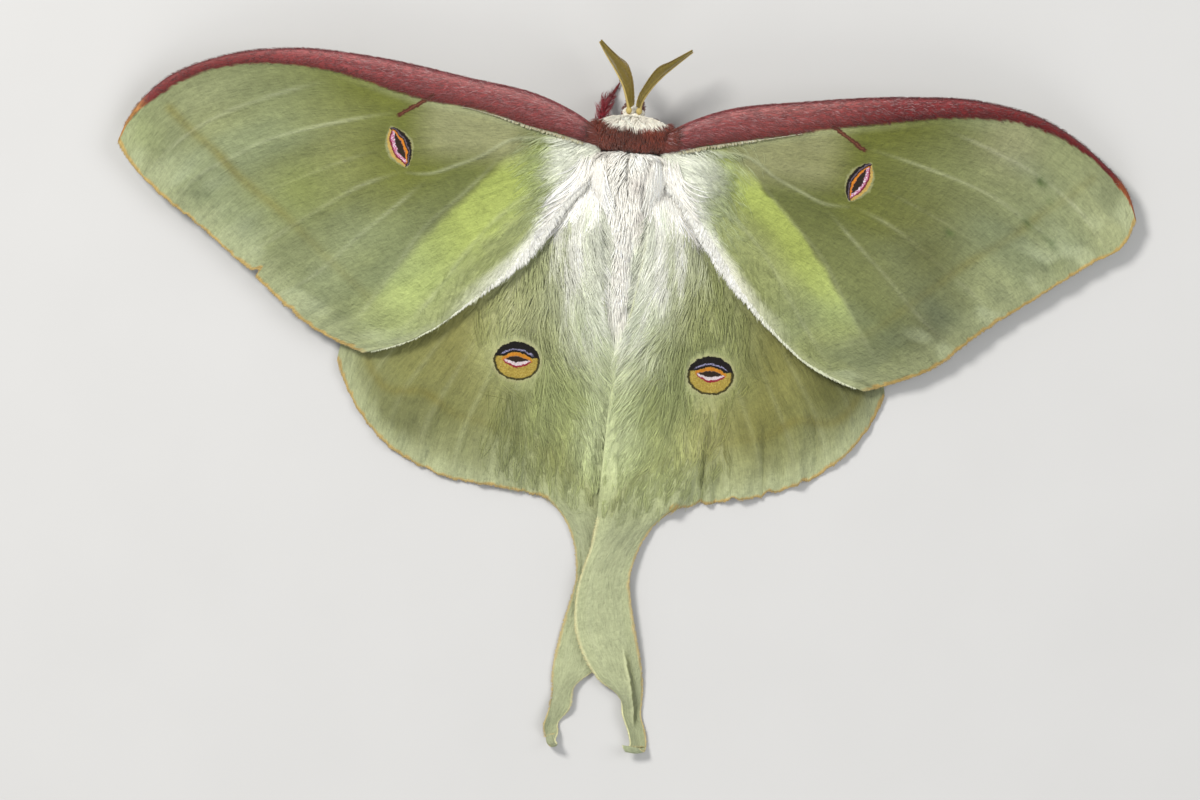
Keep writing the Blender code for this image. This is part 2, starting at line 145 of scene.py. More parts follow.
# ------------------------------------------------------------------ meshes from arrays
def new_mesh(name, verts, quads=None, tris=None, uv=None, attributes=None, mat=None, flat=False):
    """A mesh object from arrays (verts in mm); uv is one pair per vertex."""
    quads = np.zeros((0, 4), np.int64) if quads is None else np.asarray(quads)
    tris = np.zeros((0, 3), np.int64) if tris is None else np.asarray(tris)
    mesh = bpy.data.meshes.new(name)
    pts = place(verts)
    mesh.vertices.add(len(pts))
    mesh.vertices.foreach_set("co", pts.astype(np.float32).ravel())
    loops = np.r_[quads.ravel(), tris.ravel()].astype(np.int32)
    mesh.loops.add(len(loops))
    mesh.loops.foreach_set("vertex_index", loops)
    mesh.polygons.add(len(quads) + len(tris))
    starts = np.r_[np.arange(len(quads)) * 4, len(quads) * 4 + np.arange(len(tris)) * 3].astype(np.int32)
    mesh.polygons.foreach_set("loop_start", starts)
    mesh.update(calc_edges=True)
    mesh.validate()
    if uv is not None:
        layer = mesh.uv_layers.new(name="OFBake")
        index = np.empty(len(mesh.loops), np.int32)
        mesh.loops.foreach_get("vertex_index", index)
        layer.uv.foreach_set("vector", np.asarray(uv, np.float32)[index].ravel())
    for key, values in (attributes or {}).items():
        values = np.asarray(values, np.float32)
        if values.ndim == 2 and key == "Col":
            att = mesh.attributes.new(key, "FLOAT_COLOR", "POINT")
            full = np.ones((len(values), 4), np.float32)
            full[:, :3] = np.clip(values, 0, 1)
            att.data.foreach_set("color", full.ravel())
        elif values.ndim == 2:
            att = mesh.attributes.new(key, "FLOAT_VECTOR", "POINT")
            att.data.foreach_set("vector", values.ravel())
        else:
            att = mesh.attributes.new(key, "FLOAT", "POINT")
            att.data.foreach_set("value", values)
    if not flat:
        mesh.shade_smooth()
    obj = bpy.data.objects.new(name, mesh)
    bpy.context.scene.collection.objects.link(obj)
    if mat:
        mesh.materials.append(mat)
    return obj


def grid_faces(rows, cols, offset=0, flip=False):
    i, j = np.meshgrid(np.arange(rows - 1), np.arange(cols - 1), indexing="ij")
    a = (i * cols + j).ravel() + offset
    f = np.stack([a, a + cols, a + cols + 1, a + 1], 1)
    return f[:, ::-1] if flip else f


# ------------------------------------------------------------------ node expressions
class Ex:
    """A value in a node tree, so that patterns can be written as sums."""

    def __init__(self, tree, socket):
        self.tree, self.socket = tree, socket

    def _op(self, operation, *others):
        node = self.tree.nodes.new("ShaderNodeMath")
        node.operation = operation
        for i, v in enumerate((self, *others)):
            if isinstance(v, Ex):
                self.tree.links.new(v.socket, node.inputs[i])
            else:
                node.inputs[i].default_value = float(v)
        return Ex(self.tree, node.outputs[0])

    def __add__(self, o): return self._op("ADD", o)
    __radd__ = __add__
    def __mul__(self, o): return self._op("MULTIPLY", o)
    __rmul__ = __mul__
    def __sub__(self, o): return self._op("SUBTRACT", o)
    def __rsub__(self, o): return (self * -1.0) + o
    def __truediv__(self, o): return self._op("DIVIDE", o)
    def __neg__(self): return self * -1.0
    def abs(self): return self._op("ABSOLUTE")
    def sqrt(self): return self._op("SQRT")
    def max(self, o): return self._op("MAXIMUM", o)
    def min(self, o): return self._op("MINIMUM", o)

    def step(self, a, b):
        """0 below a, 1 above b, smooth between; a may be larger than b."""
        node = self.tree.nodes.new("ShaderNodeMapRange")
        node.interpolation_type = "SMOOTHSTEP"
        self.tree.links.new(self.socket, node.inputs["Value"])
        node.inputs["From Min"].default_value = min(a, b)
        node.inputs["From Max"].default_value = max(a, b)
        node.inputs["To Min"].default_value = 0.0 if a < b else 1.0
        node.inputs["To Max"].default_value = 1.0 if a < b else 0.0
        return Ex(self.tree, node.outputs["Result"])


def blend_colour(tree, a, b, f, mode="MIX"):
    node = tree.nodes.new("ShaderNodeMix")
    node.data_type = "RGBA"
    node.blend_type = mode
    sock = {s.identifier: s for s in node.inputs}
    for key, v in (("A_Color", a), ("B_Color", b)):
        if isinstance(v, bpy.types.NodeSocket):
            tree.links.new(v, sock[key])
        else:
            sock[key].default_value = (*v, 1.0)
    if isinstance(f, Ex):
        tree.links.new(f.socket, sock["Factor_Float"])
    else:
        sock["Factor_Float"].default_value = f
    return {s.identifier: s for s in node.outputs}["Result_Color"]


def material(name, rough=0.7, specular=0.3, sheen=0.0, subsurface=0.0):
    mat = bpy.data.materials.new(name)
    mat.use_nodes = True
    tree = mat.node_tree
    shader = tree.nodes["Principled BSDF"]
    shader.inputs["Roughness"].default_value = rough
    shader.inputs["Specular IOR Level"].default_value = specular
    shader.inputs["Sheen Weight"].default_value = sheen
    shader.inputs["Sheen Roughness"].default_value = 0.5
    if subsurface:
        shader.inputs["Subsurface Weight"].default_value = subsurface
        shader.inputs["Subsurface Radius"].default_value = (0.0006, 0.0005, 0.0003)
    return mat, tree, shader


def attribute(tree, name, kind="Color"):
    node = tree.nodes.new("ShaderNodeAttribute")
    node.attribute_name = name
    return node.outputs[kind]


def texture(tree, kind, vector, scale, detail=2.0, rough=0.5, stretch=(1, 1, 1)):
    mapping = tree.nodes.new("ShaderNodeMapping")
    mapping.inputs["Scale"].default_value = stretch
    tree.links.new(vector, mapping.inputs["Vector"])
    node = tree.nodes.new(kind)
    tree.links.new(mapping.outputs["Vector"], node.inputs["Vector"])
    node.inputs["Scale"].default_value = scale
    if "Detail" in node.inputs:
        node.inputs["Detail"].default_value = detail
    if "Roughness" in node.inputs:
        node.inputs["Roughness"].default_value = rough
    return node


def bump(tree, shader, height, distance, strength=1.0, normal=None):
    node = tree.nodes.new("ShaderNodeBump")
    node.inputs["Strength"].default_value = strength
    node.inputs["Distance"].default_value = distance
    tree.links.new(height.socket if isinstance(height, Ex) else height, node.inputs["Height"])
    if normal is not None:
        tree.links.new(normal, node.inputs["Normal"])
    tree.links.new(node.outputs["Normal"], shader.inputs["Normal"])
    return node.outputs["Normal"]


# ------------------------------------------------------------------ wings: shape
FORE = {
    1: dict(
        lead=[(3.2, -0.6, 7.4), (9.0, 2.2, 7.5), (17.2, 3.8, 7.1), (27.4, 5.15, 6.3), (35.5, 5.45, 5.3),
              (42.5, 4.1, 4.2), (48.2, 0.8, 3.2), (51.7, -2.6, 2.5), (52.7, -5.2, 2.3)],
        outer=[(52.7, -5.2, 2.3), (50.4, -8.6, 2.1), (44.4, -13.2, 2.0), (38.0, -18.0, 2.0),
               (32.2, -22.7, 1.95), (26.0, -25.1, 1.95)],
        trail=[(3.0, -4.4, 6.9), (6.4, -8.2, 6.9), (9.4, -12.6, 6.3), (14.9, -18.6, 4.9),
               (20.4, -23.0, 3.3), (26.0, -25.1, 1.95)]),
    -1: dict(
        lead=[(-3.2, -0.6, 7.4), (-9.0, 2.2, 7.5), (-17.2, 3.7, 7.1), (-27.4, 5.2, 6.3), (-35.5, 5.5, 5.3),
              (-43.0, 4.15, 4.2), (-48.8, 1.3, 3.2), (-52.0, -2.6, 2.5), (-53.0, -5.2, 2.3)],
        outer=[(-53.0, -5.2, 2.3), (-49.6, -9.2, 2.1), (-43.4, -13.7, 2.0), (-38.0, -17.9, 2.0),
               (-32.0, -22.6, 1.95), (-26.0, -25.1, 1.95)],
        trail=[(-3.0, -4.4, 6.9), (-6.4, -8.4, 6.9), (-9.2, -13.2, 6.3), (-14.9, -18.7, 4.9),
               (-20.6, -23.1, 3.3), (-26.0, -25.1, 1.95)]),
}
HIND = {
    1: dict(
        lead=[(2.6, -3.6, 5.7), (9.0, -7.0, 5.0), (17.0, -12.0, 3.7), (24.0, -18.0, 1.9),
              (27.6, -22.5, 0.8), (28.3, -25.6, 0.36)],
        outer=[(28.3, -25.6, 0.36), (26.9, -29.0, 0.29), (22.2, -34.1, 0.27), (15.6, -37.2, 0.27),
               (11.0, -38.1, 0.27), (7.0, -39.1, 0.45)],
        trail=[(2.8, -5.6, 6.0), (2.5, -9.6, 7.3), (2.0, -14.5, 6.75), (1.3, -19.0, 5.9),
               (0.7, -22.8, 4.95), (-0.05, -27.5, 3.9), (-0.3, -33.0, 2.7), (-0.5, -40.4, 1.5)]),
    -1: dict(
        lead=[(-2.6, -3.6, 5.7), (-9.0, -7.0, 5.0), (-17.0, -12.0, 3.7), (-24.0, -18.0, 1.9),
              (-27.9, -22.5, 0.8), (-28.7, -25.9, 0.36)],
        outer=[(-28.7, -25.9, 0.36), (-27.4, -29.2, 0.29), (-23.4, -34.1, 0.27), (-17.0, -37.3, 0.27),
               (-11.0, -38.0, 0.27), (-5.8, -38.7, 0.27)],
        trail=[(-2.8, -5.6, 6.0), (-2.5, -9.6, 7.3), (-2.0, -14.5, 6.75), (-1.3, -19.0, 5.9),
               (-0.55, -22.8, 4.8), (0.45, -27.5, 2.85), (0.9, -33.0, 1.4), (1.3, -39.6, 0.27)]),
}
TAIL_FROM = 0.80
# tails past the wing's edge: outer edge, crest and inner edge, ending in the curled tip
TAIL = {
    1: dict(
        out=[(5.6, -40.4, 0.55), (4.35, -42.4, 0.8), (3.3, -46.4, 1.1), (4.1, -51.2, 1.05), (5.2, -55.6, 0.6),
             (5.5, -58.6, 0.25), (5.6, -60.6, 0.3), (6.15, -62.4, 0.35), (6.35, -63.6, 0.5), (6.2, -64.2, 1.2),
             (5.7, -63.9, 1.75)],
        mid=[(3.0, -40.9, 1.15), (1.9, -43.0, 1.3), (0.7, -47.3, 1.3), (1.2, -51.5, 1.3), (3.1, -56.2, 1.25),
             (4.15, -58.6, 1.2), (4.45, -60.3, 0.3), (5.2, -62.5, 0.25), (5.5, -63.9, 0.5), (5.3, -64.4, 1.3),
             (4.9, -63.8, 1.8)],
        inn=[(-0.6, -41.2, 1.5), (-0.9, -43.4, 1.35), (-1.9, -47.6, 1.15), (-1.9, -51.6, 1.15), (0.7, -56.8, 0.95),
             (3.4, -59.0, 0.75), (3.65, -60.4, 0.95), (4.5, -62.6, 0.8), (4.7, -63.6, 1.0), (4.3, -64.3, 1.5),
             (3.9, -63.7, 1.9)]),
    -1: dict(
        out=[(-4.7, -39.7, 0.25), (-2.95, -42.4, 0.22), (-2.2, -46.4, 0.2), (-3.2, -51.8, 0.2), (-3.9, -56.8, 0.2),
             (-3.7, -59.4, 0.3), (-4.15, -61.2, 1.0), (-4.4, -62.3, 0.9), (-4.1, -63.3, 0.35), (-3.9, -64.1, 0.5),
             (-3.5, -64.4, 1.2)],
        mid=[(-1.8, -40.2, 0.3), (-0.9, -42.9, 0.35), (-0.05, -47.0, 0.35), (-0.6, -51.9, 0.35), (-1.9, -56.6, 0.4),
             (-3.0, -59.2, 0.95), (-3.3, -61.2, 0.5), (-3.7, -62.5, 0.35), (-3.5, -63.2, 0.6), (-3.4, -64.1, 1.2),
             (-3.0, -64.3, 1.7)],
        inn=[(1.4, -40.4, 0.27), (1.35, -43.2, 0.24), (2.3, -47.6, 0.22), (2.2, -52.0, 0.22), (0.4, -56.1, 0.3),
             (-1.7, -58.2, 0.75), (-1.85, -60.2, 0.75), (-3.0, -62.1, 0.3), (-2.9, -63.0, 0.8), (-3.1, -63.7, 1.6),
             (-2.9, -64.0, 2.0)]),
}
FORE_ARCH = 0.7
MEMBRANE = 0.16


def coons(lead, trail, outer_at, s, t):
    c00, c01, c10, c11 = (np.array(p, float) for p in (lead[0], lead[-1], trail[0], trail[-1]))
    s1, t1 = s[..., None], t[..., None]
    base = (1 - s1) * c00 + s1 * c10
    return ((1 - s1) * spline(lead, t) + s1 * spline(trail, t) + (1 - t1) * base + t1 * outer_at(s)
            - ((1 - s1) * (1 - t1) * c00 + (1 - s1) * t1 * c01 + s1 * (1 - t1) * c10 + s1 * t1 * c11))


def fore_surface(side, s, t):
    w = FORE[side]
    s, t = np.broadcast_arrays(np.asarray(s, float), np.asarray(t, float))
    p = coons(w["lead"], w["trail"], lambda q: spline(w["outer"], q), np.clip(s, 0, 1), np.clip(t, 0, 1))
    p[..., 2] += FORE_ARCH * np.sin(np.pi * np.clip(s, 0, 1)) * np.sin(np.pi * np.clip(t, 0, 1)) ** 0.8
    return p


def hind_outer(side, s):
    w = HIND[side]
    a, b = np.array(w["outer"][-1], float), np.array(w["trail"][-1], float)
    near = spline(w["outer"], np.clip(s / TAIL_FROM, 0, 1))
    across = np.clip((s - TAIL_FROM) / (1 - TAIL_FROM), 0, 1)[..., None]
    return np.where((s <= TAIL_FROM)[..., None], near, a * (1 - across) + b * across)


def hind_surface(side, s, t):
    """t runs 0..1 over the wing and 1..2 down the tail (there s must be at least TAIL_FROM)."""
    w = HIND[side]
    s, t = np.broadcast_arrays(np.asarray(s, float), np.asarray(t, float))
    p = coons(w["lead"], w["trail"], lambda q: hind_outer(side, q), s, np.clip(t, 0, 1))
    down = t > 1
    if down.any():
        edge = {"out": w["outer"][-1], "inn": w["trail"][-1]}
        edge["mid"] = tuple((np.array(edge["out"]) + np.array(edge["inn"])) / 2)
        q = (s[down] - TAIL_FROM) / (1 - TAIL_FROM)
        a, b, c = (spline([edge[k]] + TAIL[side][k], t[down] - 1) for k in ("out", "mid", "inn"))
        q = q[..., None]
        p[down] = (1 - q) * (1 - 2 * q) * a + 4 * q * (1 - q) * b + q * (2 * q - 1) * c
    return p


# the bright streak down each forewing, from its base to the corner
BRIGHT = {
    1: [(7.6, -2.3), (10.0, -3.1), (13.0, -6.2), (16.4, -9.2), (18.6, -12.1), (20.6, -14.9), (22.6, -17.6), (24.9, -20.7)],
    -1: [(5.6, -2.2), (8.0, -3.4), (10.8, -5.6), (13.4, -8.3), (16.6, -11.9), (19.4, -15.2), (22.3, -19.0), (24.8, -22.2)],
}
# veins and folds, as lines in plan on the right-hand wings (x, y); the left ones mirror them
VEINS_FORE = [  # line, height (mm), half width (mm), paleness
    ([(31.5, 2.6), (38.4, 0.2), (43.7, -2.4), (46.7, -4.7), (49.9, -8.4)], 0.10, 0.24, 0.75),
    ([(24.3, -0.2), (29.8, -1.5), (34.0, -2.7), (38.2, -4.3), (41.4, -6.2), (44.0, -7.8), (47.2, -11.4)], 0.10, 0.22, 0.8),
    ([(25.6, -4.0), (33.9, -7.6), (38.9, -10.3), (43.5, -13.7)], 0.05, 0.2, 0.3),
    ([(23.1, -6.2), (27.5, -8.0), (30.9, -10.2), (34.0, -12.4), (39.7, -16.7)], 0.09, 0.24, 0.7),
    ([(20.4, -6.6), (23.9, -10.0), (27.6, -13.4), (31.1, -17.0), (35.6, -20.2)], 0.09, 0.24, 0.75),
    ([(4.6, -1.9), (9.2, -1.7), (12.4, -2.2), (15.2, -4.0), (17.8, -5.2), (20.3, -6.2), (22.8, -6.3)], 0.14, 0.22, 1.0),
    ([(12.4, -2.6), (14.4, -5.4), (17.1, -8.3), (20.4, -11.6), (23.6, -16.6), (26.3, -20.8), (28.8, -24.2)], 0.09, 0.26, 0.8),
    ([(6.0, -4.5), (9.5, -7.2), (13.0, -10.1), (16.1, -14.0), (18.9, -18.3), (22.4, -22.9)], 0.07, 0.3, 0.6),
]
BAND_LOW = {
    1: [(0.0, -2.9), (3.2, -2.45), (4.7, -2.1), (7.2, -1.4), (11.3, -0.5), (15.3, 0.3), (20.5, 1.5), (25.6, 2.4), (30.7, 3.3),
        (35.8, 3.85), (40.0, 3.72), (44.3, 2.5), (47.5, 0.82), (49.8, -1.1), (51.3, -2.65), (52.25, -4.1), (52.7, -5.3)],
    -1: [(0.0, -2.6), (3.2, -2.2), (4.4, -1.9), (7.4, -1.2), (10.5, -0.6), (13.7, 0.2), (16.9, 0.8), (21.1, 1.25), (24.2, 1.85),
         (28.5, 3.0), (32.7, 3.75), (36.9, 3.95), (41.0, 3.6), (44.0, 2.8), (47.0, 1.4), (49.5, -0.5), (51.1, -1.9), (52.3, -3.5), (52.95, -5.3)],
}
PM_FORE = [(47.9, -1.4), (45.5, -3.5), (42.8, -5.5), (40.8, -7.4), (38.3, -9.3), (35.3, -11.4), (32.5, -13.8), (28.0, -17.6),
           (23.0, -21.6)]
PM_HIND = [(26.0, -24.8), (23.3, -28.6), (19.4, -27.5 - 1.2), (16.3, -30.6), (13.0, -31.4), (10.0, -32.2), (7.0, -33.2), (4.3, -34.9),
           (2.0, -37.0), (0.9, -39.5)]
FOLDS_HIND = {  # line, height of the fold (mm, down if negative), half width (mm)
    1: [([(10.15, -27.0), (9.4, -31.0), (8.7, -34.6), (7.3, -38.7)], 0.85, 0.95),
        ([(10.0, -29.6), (10.05, -34.0), (10.1, -38.2)], -0.62, 0.26),
        ([(10.75, -31.0), (10.8, -34.5), (10.8, -38.2)], 0.5, 0.42),
        ([(11.0, -26.8), (11.8, -31.0), (12.0, -34.4), (11.5, -38.0)], -0.35, 0.45),
        ([(15.1, -26.6), (15.0, -31.0), (14.3, -37.0)], 0.7, 1.0),
        ([(16.0, -29.5), (16.2, -33.0), (16.45, -36.9)], -0.45, 0.3),
        ([(17.1, -31.0), (17.3, -35.8)], 0.35, 0.5),
        ([(17.0, -26.0), (18.0, -31.0), (18.9, -35.6)], -0.3, 0.6),
        ([(19.6, -25.0), (19.9, -30.0), (20.0, -35.0)], 0.6, 0.75),
        ([(20.9, -27.0), (21.5, -30.0), (21.9, -34.0)], -0.35, 0.3),
        ([(23.3, -28.0), (23.9, -32.0)], 0.25, 0.5)],
    -1: [([(22.2, -25.0), (23.1, -28.0), (24.3, -31.6)], 0.35, 0.6),
         ([(19.1, -25.6), (19.9, -30.0), (21.0, -34.9)], -0.3, 0.5),
         ([(17.6, -27.4), (18.4, -31.0), (19.4, -35.6)], 0.4, 0.7),
         ([(15.1, -28.0), (14.5, -32.0), (14.2, -37.4)], -0.28, 0.45),
         ([(13.0, -28.2), (13.0, -32.0), (12.9, -37.6)], 0.38, 0.6),
         ([(10.6, -31.6), (10.8, -35.0), (10.9, -37.8)], 0.3, 0.5),
         ([(7.9, -32.6), (8.2, -35.0), (8.5, -37.8)], -0.3, 0.4),
         ([(6.6, -32.6), (6.2, -36.0), (6.0, -38.4)], 0.3, 0.6)],
}
SMALL_FOLDS = {  # creases of the forewings
    1: [([(40.5, -8.3), (42.3, -9.3), (43.6, -11.2)], -0.12, 0.16)],
    -1: [([(27.2, -13.0), (27.3, -14.8)], -0.14, 0.14), ([(28.2, -18.2), (27.9, -20.4), (28.9, -22.2)], -0.12, 0.16),
         ([(34.2, -3.4), (35.6, -5.8), (36.2, -8.2)], -0.06, 0.16)],
}


def band_share(side, x, y):
    """Where a point lies across the rosy front edge: 0 in front, 1 at its lower edge, more behind it; and its distance from the front."""
    ax = np.abs(x)
    lead = [(abs(a), b) for a, b, _ in FORE[side]["lead"]]
    d = np.array(lead[1]) - np.array(lead[0])
    lead_d, _ = to_line(ax, y, [tuple(np.array(lead[0]) - d * 0.55)] + lead, 80)
    low = BAND_LOW[side]
    low_d, _ = to_line(ax, y, low, 80)
    inside = y > np.interp(ax, [v[0] for v in low], [v[1] for v in low])
    low_d = np.where(inside, low_d, -low_d)
    q = 1 - low_d / np.maximum(lead_d + np.abs(low_d), 1e-6)
    return np.where(inside, q, 1 - low_d / 2.0), lead_d


def fore_relief(side, x, y, s, t):
    """Height of the forewing's veins, and of its folds, over the plain sheet."""
    ax = np.abs(x)
    veins = np.zeros(np.shape(x))
    pale = np.zeros(np.shape(x))
    for k, (line, height, half, bright) in enumerate(VEINS_FORE):
        bright = bright * (0.45 if k == 6 and side > 0 else 0.7 if k == 6 else 1.0)
        d, w = to_line(ax, y, line)
        fade = 0.35 + 0.65 * smooth(w, 1.0, 0.75)
        veins = np.maximum(veins, 1.5 * height * np.exp(-(d / (0.7 * half)) ** 2) * fade * smooth(w, -0.02, 0.10))
        pale = np.maximum(pale, bright * np.exp(-(d / (0.75 * half)) ** 2) * fade * smooth(w, -0.02, 0.22) * (0.75 + 0.35 * noise(w * 11, half * 90, 18)))
    folds = np.zeros(np.shape(x))
    for line, height, half in SMALL_FOLDS[side]:
        d, w = to_line(ax, y, line)
        folds += height * np.exp(-(d / half) ** 2) * np.sin(np.pi * np.clip(w, 0.02, 0.98)) ** 0.5
    rim = smooth(t, 0.62, 1.0)
    folds += 0.42 * rim * fractal(s * 17 + 3 * side, t * 1.6, 11 + side, 2)
    crimp = smooth(t, 0.80, 0.97) * smooth(noise(s * 9, 7.7, 15), -0.5, 0.5)
    folds += 0.27 * crimp * fractal(s * 58 + 2.5 * noise(t * 6, s * 5, 4), t * 2.2, 19 + side, 2)
    folds += 0.14 * fractal(s * 30, t * 3.0, 23 + side, 2) * smooth(t, 0.1, 0.4)
    return veins, pale, folds


def hind_relief(side, x, y, s, t):
    xx = x * side
    veins = np.zeros(np.shape(x))
    folds = np.zeros(np.shape(x))
    wing = smooth(t, 1.06, 0.98)
    for line, height, half in FOLDS_HIND[side]:
        d, w = to_line(xx, y, line)
        folds += height * np.exp(-(d / half) ** 2) * smooth(w, 0.0, 0.45) * wing
    for k in range(9):
        mid = (k + 0.6) / 9.0
        veins = np.maximum(veins, 0.05 * np.exp(-(((s - mid) * 33) / 0.28) ** 2) * smooth(t, 0.25, 0.5) * smooth(t, 1.9, 1.5))
    rim = smooth(t, 0.55, 1.0) * wing
    folds += 0.38 * rim * fractal(s * 26, t * 1.5, 41 + side, 2)
    folds += 0.09 * fractal(s * 46, t * 3.5, 53 + side, 2) * smooth(t, 0.1, 0.4) * smooth(t, 1.75, 1.5)
    folds += 0.10 * fractal(s * 30, t * 3.0, 71 + side, 2) * smooth(t, 0.98, 1.1) * smooth(t, 1.8, 1.5)
    if side > 0:
        d, w = to_line(xx, y, [(3.1, -53.0), (3.7, -55.4), (4.3, -57.5), (4.75, -60.0), (4.95, -62.2)])
        left_of = xx < np.interp(-y, [53.0, 55.4, 57.5, 60.0, 62.2], [3.1, 3.7, 4.3, 4.75, 4.95])
        folds += 0.55 * np.where(left_of, np.exp(-(d / 0.6) ** 2), np.exp(-(d / 0.16) ** 2)) * smooth(w, 0.0, 0.4) * smooth(w, 1.0, 0.8) * smooth(t, 1.3, 1.45)
    return veins, veins * 8, folds


def margin_shift(side, s, kind):
    """How far the far edge of a wing is drawn in (mm): small scallops, with a nick or two."""
    seed = 90 + side + (7 if kind == "hind" else 0)
    d = 0.12 * fractal(s * 34, 0.5, seed, 3) + 0.12 * fractal(s * 9, 4.5, seed + 3, 1)
    d = d + 0.11 * np.abs(np.sin(s * 62 + 1.6 * noise(s * 12, 0.5, seed + 5))) ** 0.7
    if kind == "fore" and side < 0:
        d = d + 0.75 * np.exp(-((s - 0.582) / 0.010) ** 2) * (s < 0.585) + 0.35 * smooth(s, 0.50, 0.58) * (s < 0.585)
        d = d + 0.25 * np.exp(-((s - 0.735) / 0.012) ** 2)
    if kind == "hind" and side > 0:
        for at, deep in ((0.79, 0.35), (0.705, 0.3), (0.60, 0.38), (0.49, 0.3), (0.38, 0.25)):
            d = d + deep * np.exp(-((s - at) / 0.012) ** 2)
    return np.maximum(d + 0.05, 0.0)


# ------------------------------------------------------------------ wings: colours
GREEN = dict(
    mid=rgb(99, 104, 45), outer=rgb(128, 135, 96), inner=rgb(155, 163, 109), bright=rgb(172, 186, 98),
    cell=rgb(152, 153, 114), vein=rgb(175, 180, 145), rim=rgb(165, 171, 131), edge=rgb(182, 145, 75),
    line=rgb(116, 109, 50), hind=rgb(122, 121, 68), hind_in=rgb(164, 172, 119), tail=rgb(176, 182, 138),
    olive=rgb(94, 97, 48), white=rgb(250, 249, 240))
ROSE = dict(top=rgb(180, 111, 109), mid=rgb(145, 71, 71), low=rgb(118, 47, 44), tip=rgb(115, 41, 40), orange=rgb(182, 132, 73))


PAINTED_LIGHT_AND_TONES = {  # broad lighter and darker places, partly painted light and shade and partly the wings' own tone: x, y, reach (mm) and how much of red, green and blue they keep
    ("fore", 1): [(48.6, -3.6, 4.6, (1.40, 1.37, 1.50)), (39.0, 1.8, 3.6, (1.38, 1.28, 1.50)), (38.4, -13.6, 2.8, (1.62, 1.54, 1.50)),
                  (31.6, -10.6, 4.8, (0.66, 0.62, 0.46)), (32.2, -18.2, 3.4, (0.68, 0.67, 0.70)), (50.4, -6.2, 2.4, (1.28, 1.26, 1.32))],
    ("fore", -1): [(44.8, -0.4, 4.0, (1.18, 1.15, 1.18)), (29.0, -4.3, 4.0, (1.20, 1.17, 1.24)), (24.4, -22.4, 3.4, (1.20, 1.22, 1.10)),
                   (33.8, -8.8, 4.0, (0.86, 0.88, 0.62)), (40.6, -12.4, 3.0, (0.86, 0.89, 0.86)), (51.4, -4.4, 2.2, (1.36, 1.38, 1.35)),
                   (19.1, -11.9, 3.0, (0.84, 0.84, 0.86))],
    ("hind", 1): [(9.4, -30.8, 3.2, (1.50, 1.38, 1.40)), (6.8, -18.0, 3.4, (1.18, 1.14, 1.14)), (15.8, -30.2, 3.4, (0.82, 0.79, 0.64)),
                  (3.6, -41.0, 3.4, (0.72, 0.72, 0.72)), (2.4, -26.0, 3.4, (1.30, 1.30, 1.36)), (3.6, -33.0, 3.0, (1.20, 1.18, 1.26)),
                  (22.9, -25.5, 3.2, (0.76, 0.75, 0.60)), (17.0, -26.4, 3.0, (1.14, 1.12, 1.06))],
    ("hind", -1): [(4.9, -33.6, 3.6, (0.80, 0.76, 0.64)), (13.1, -21.8, 4.2, (1.36, 1.34, 1.44)), (23.4, -31.4, 4.8, (0.62, 0.62, 0.54)),
                   (5.8, -22.3, 3.0, (1.12, 1.08, 1.18)), (3.8, -41.0, 3.0, (0.80, 0.80, 0.80)), (9.2, -18.2, 3.2, (1.42, 1.34, 1.70)),
                   (1.5, -30.0, 3.0, (1.20, 1.20, 1.16)), (21.5, -27.0, 3.0, (1.14, 1.13, 1.08))],
}


def painted_light_and_tone(c, key, x, y):
    for a, b, reach, keep in PAINTED_LIGHT_AND_TONES[key]:
        f = np.exp(-(((x - a) ** 2 + (y - b) ** 2) / reach ** 2))
        c = c * (1 + (np.array(keep) - 1) * f[..., None])
    return c


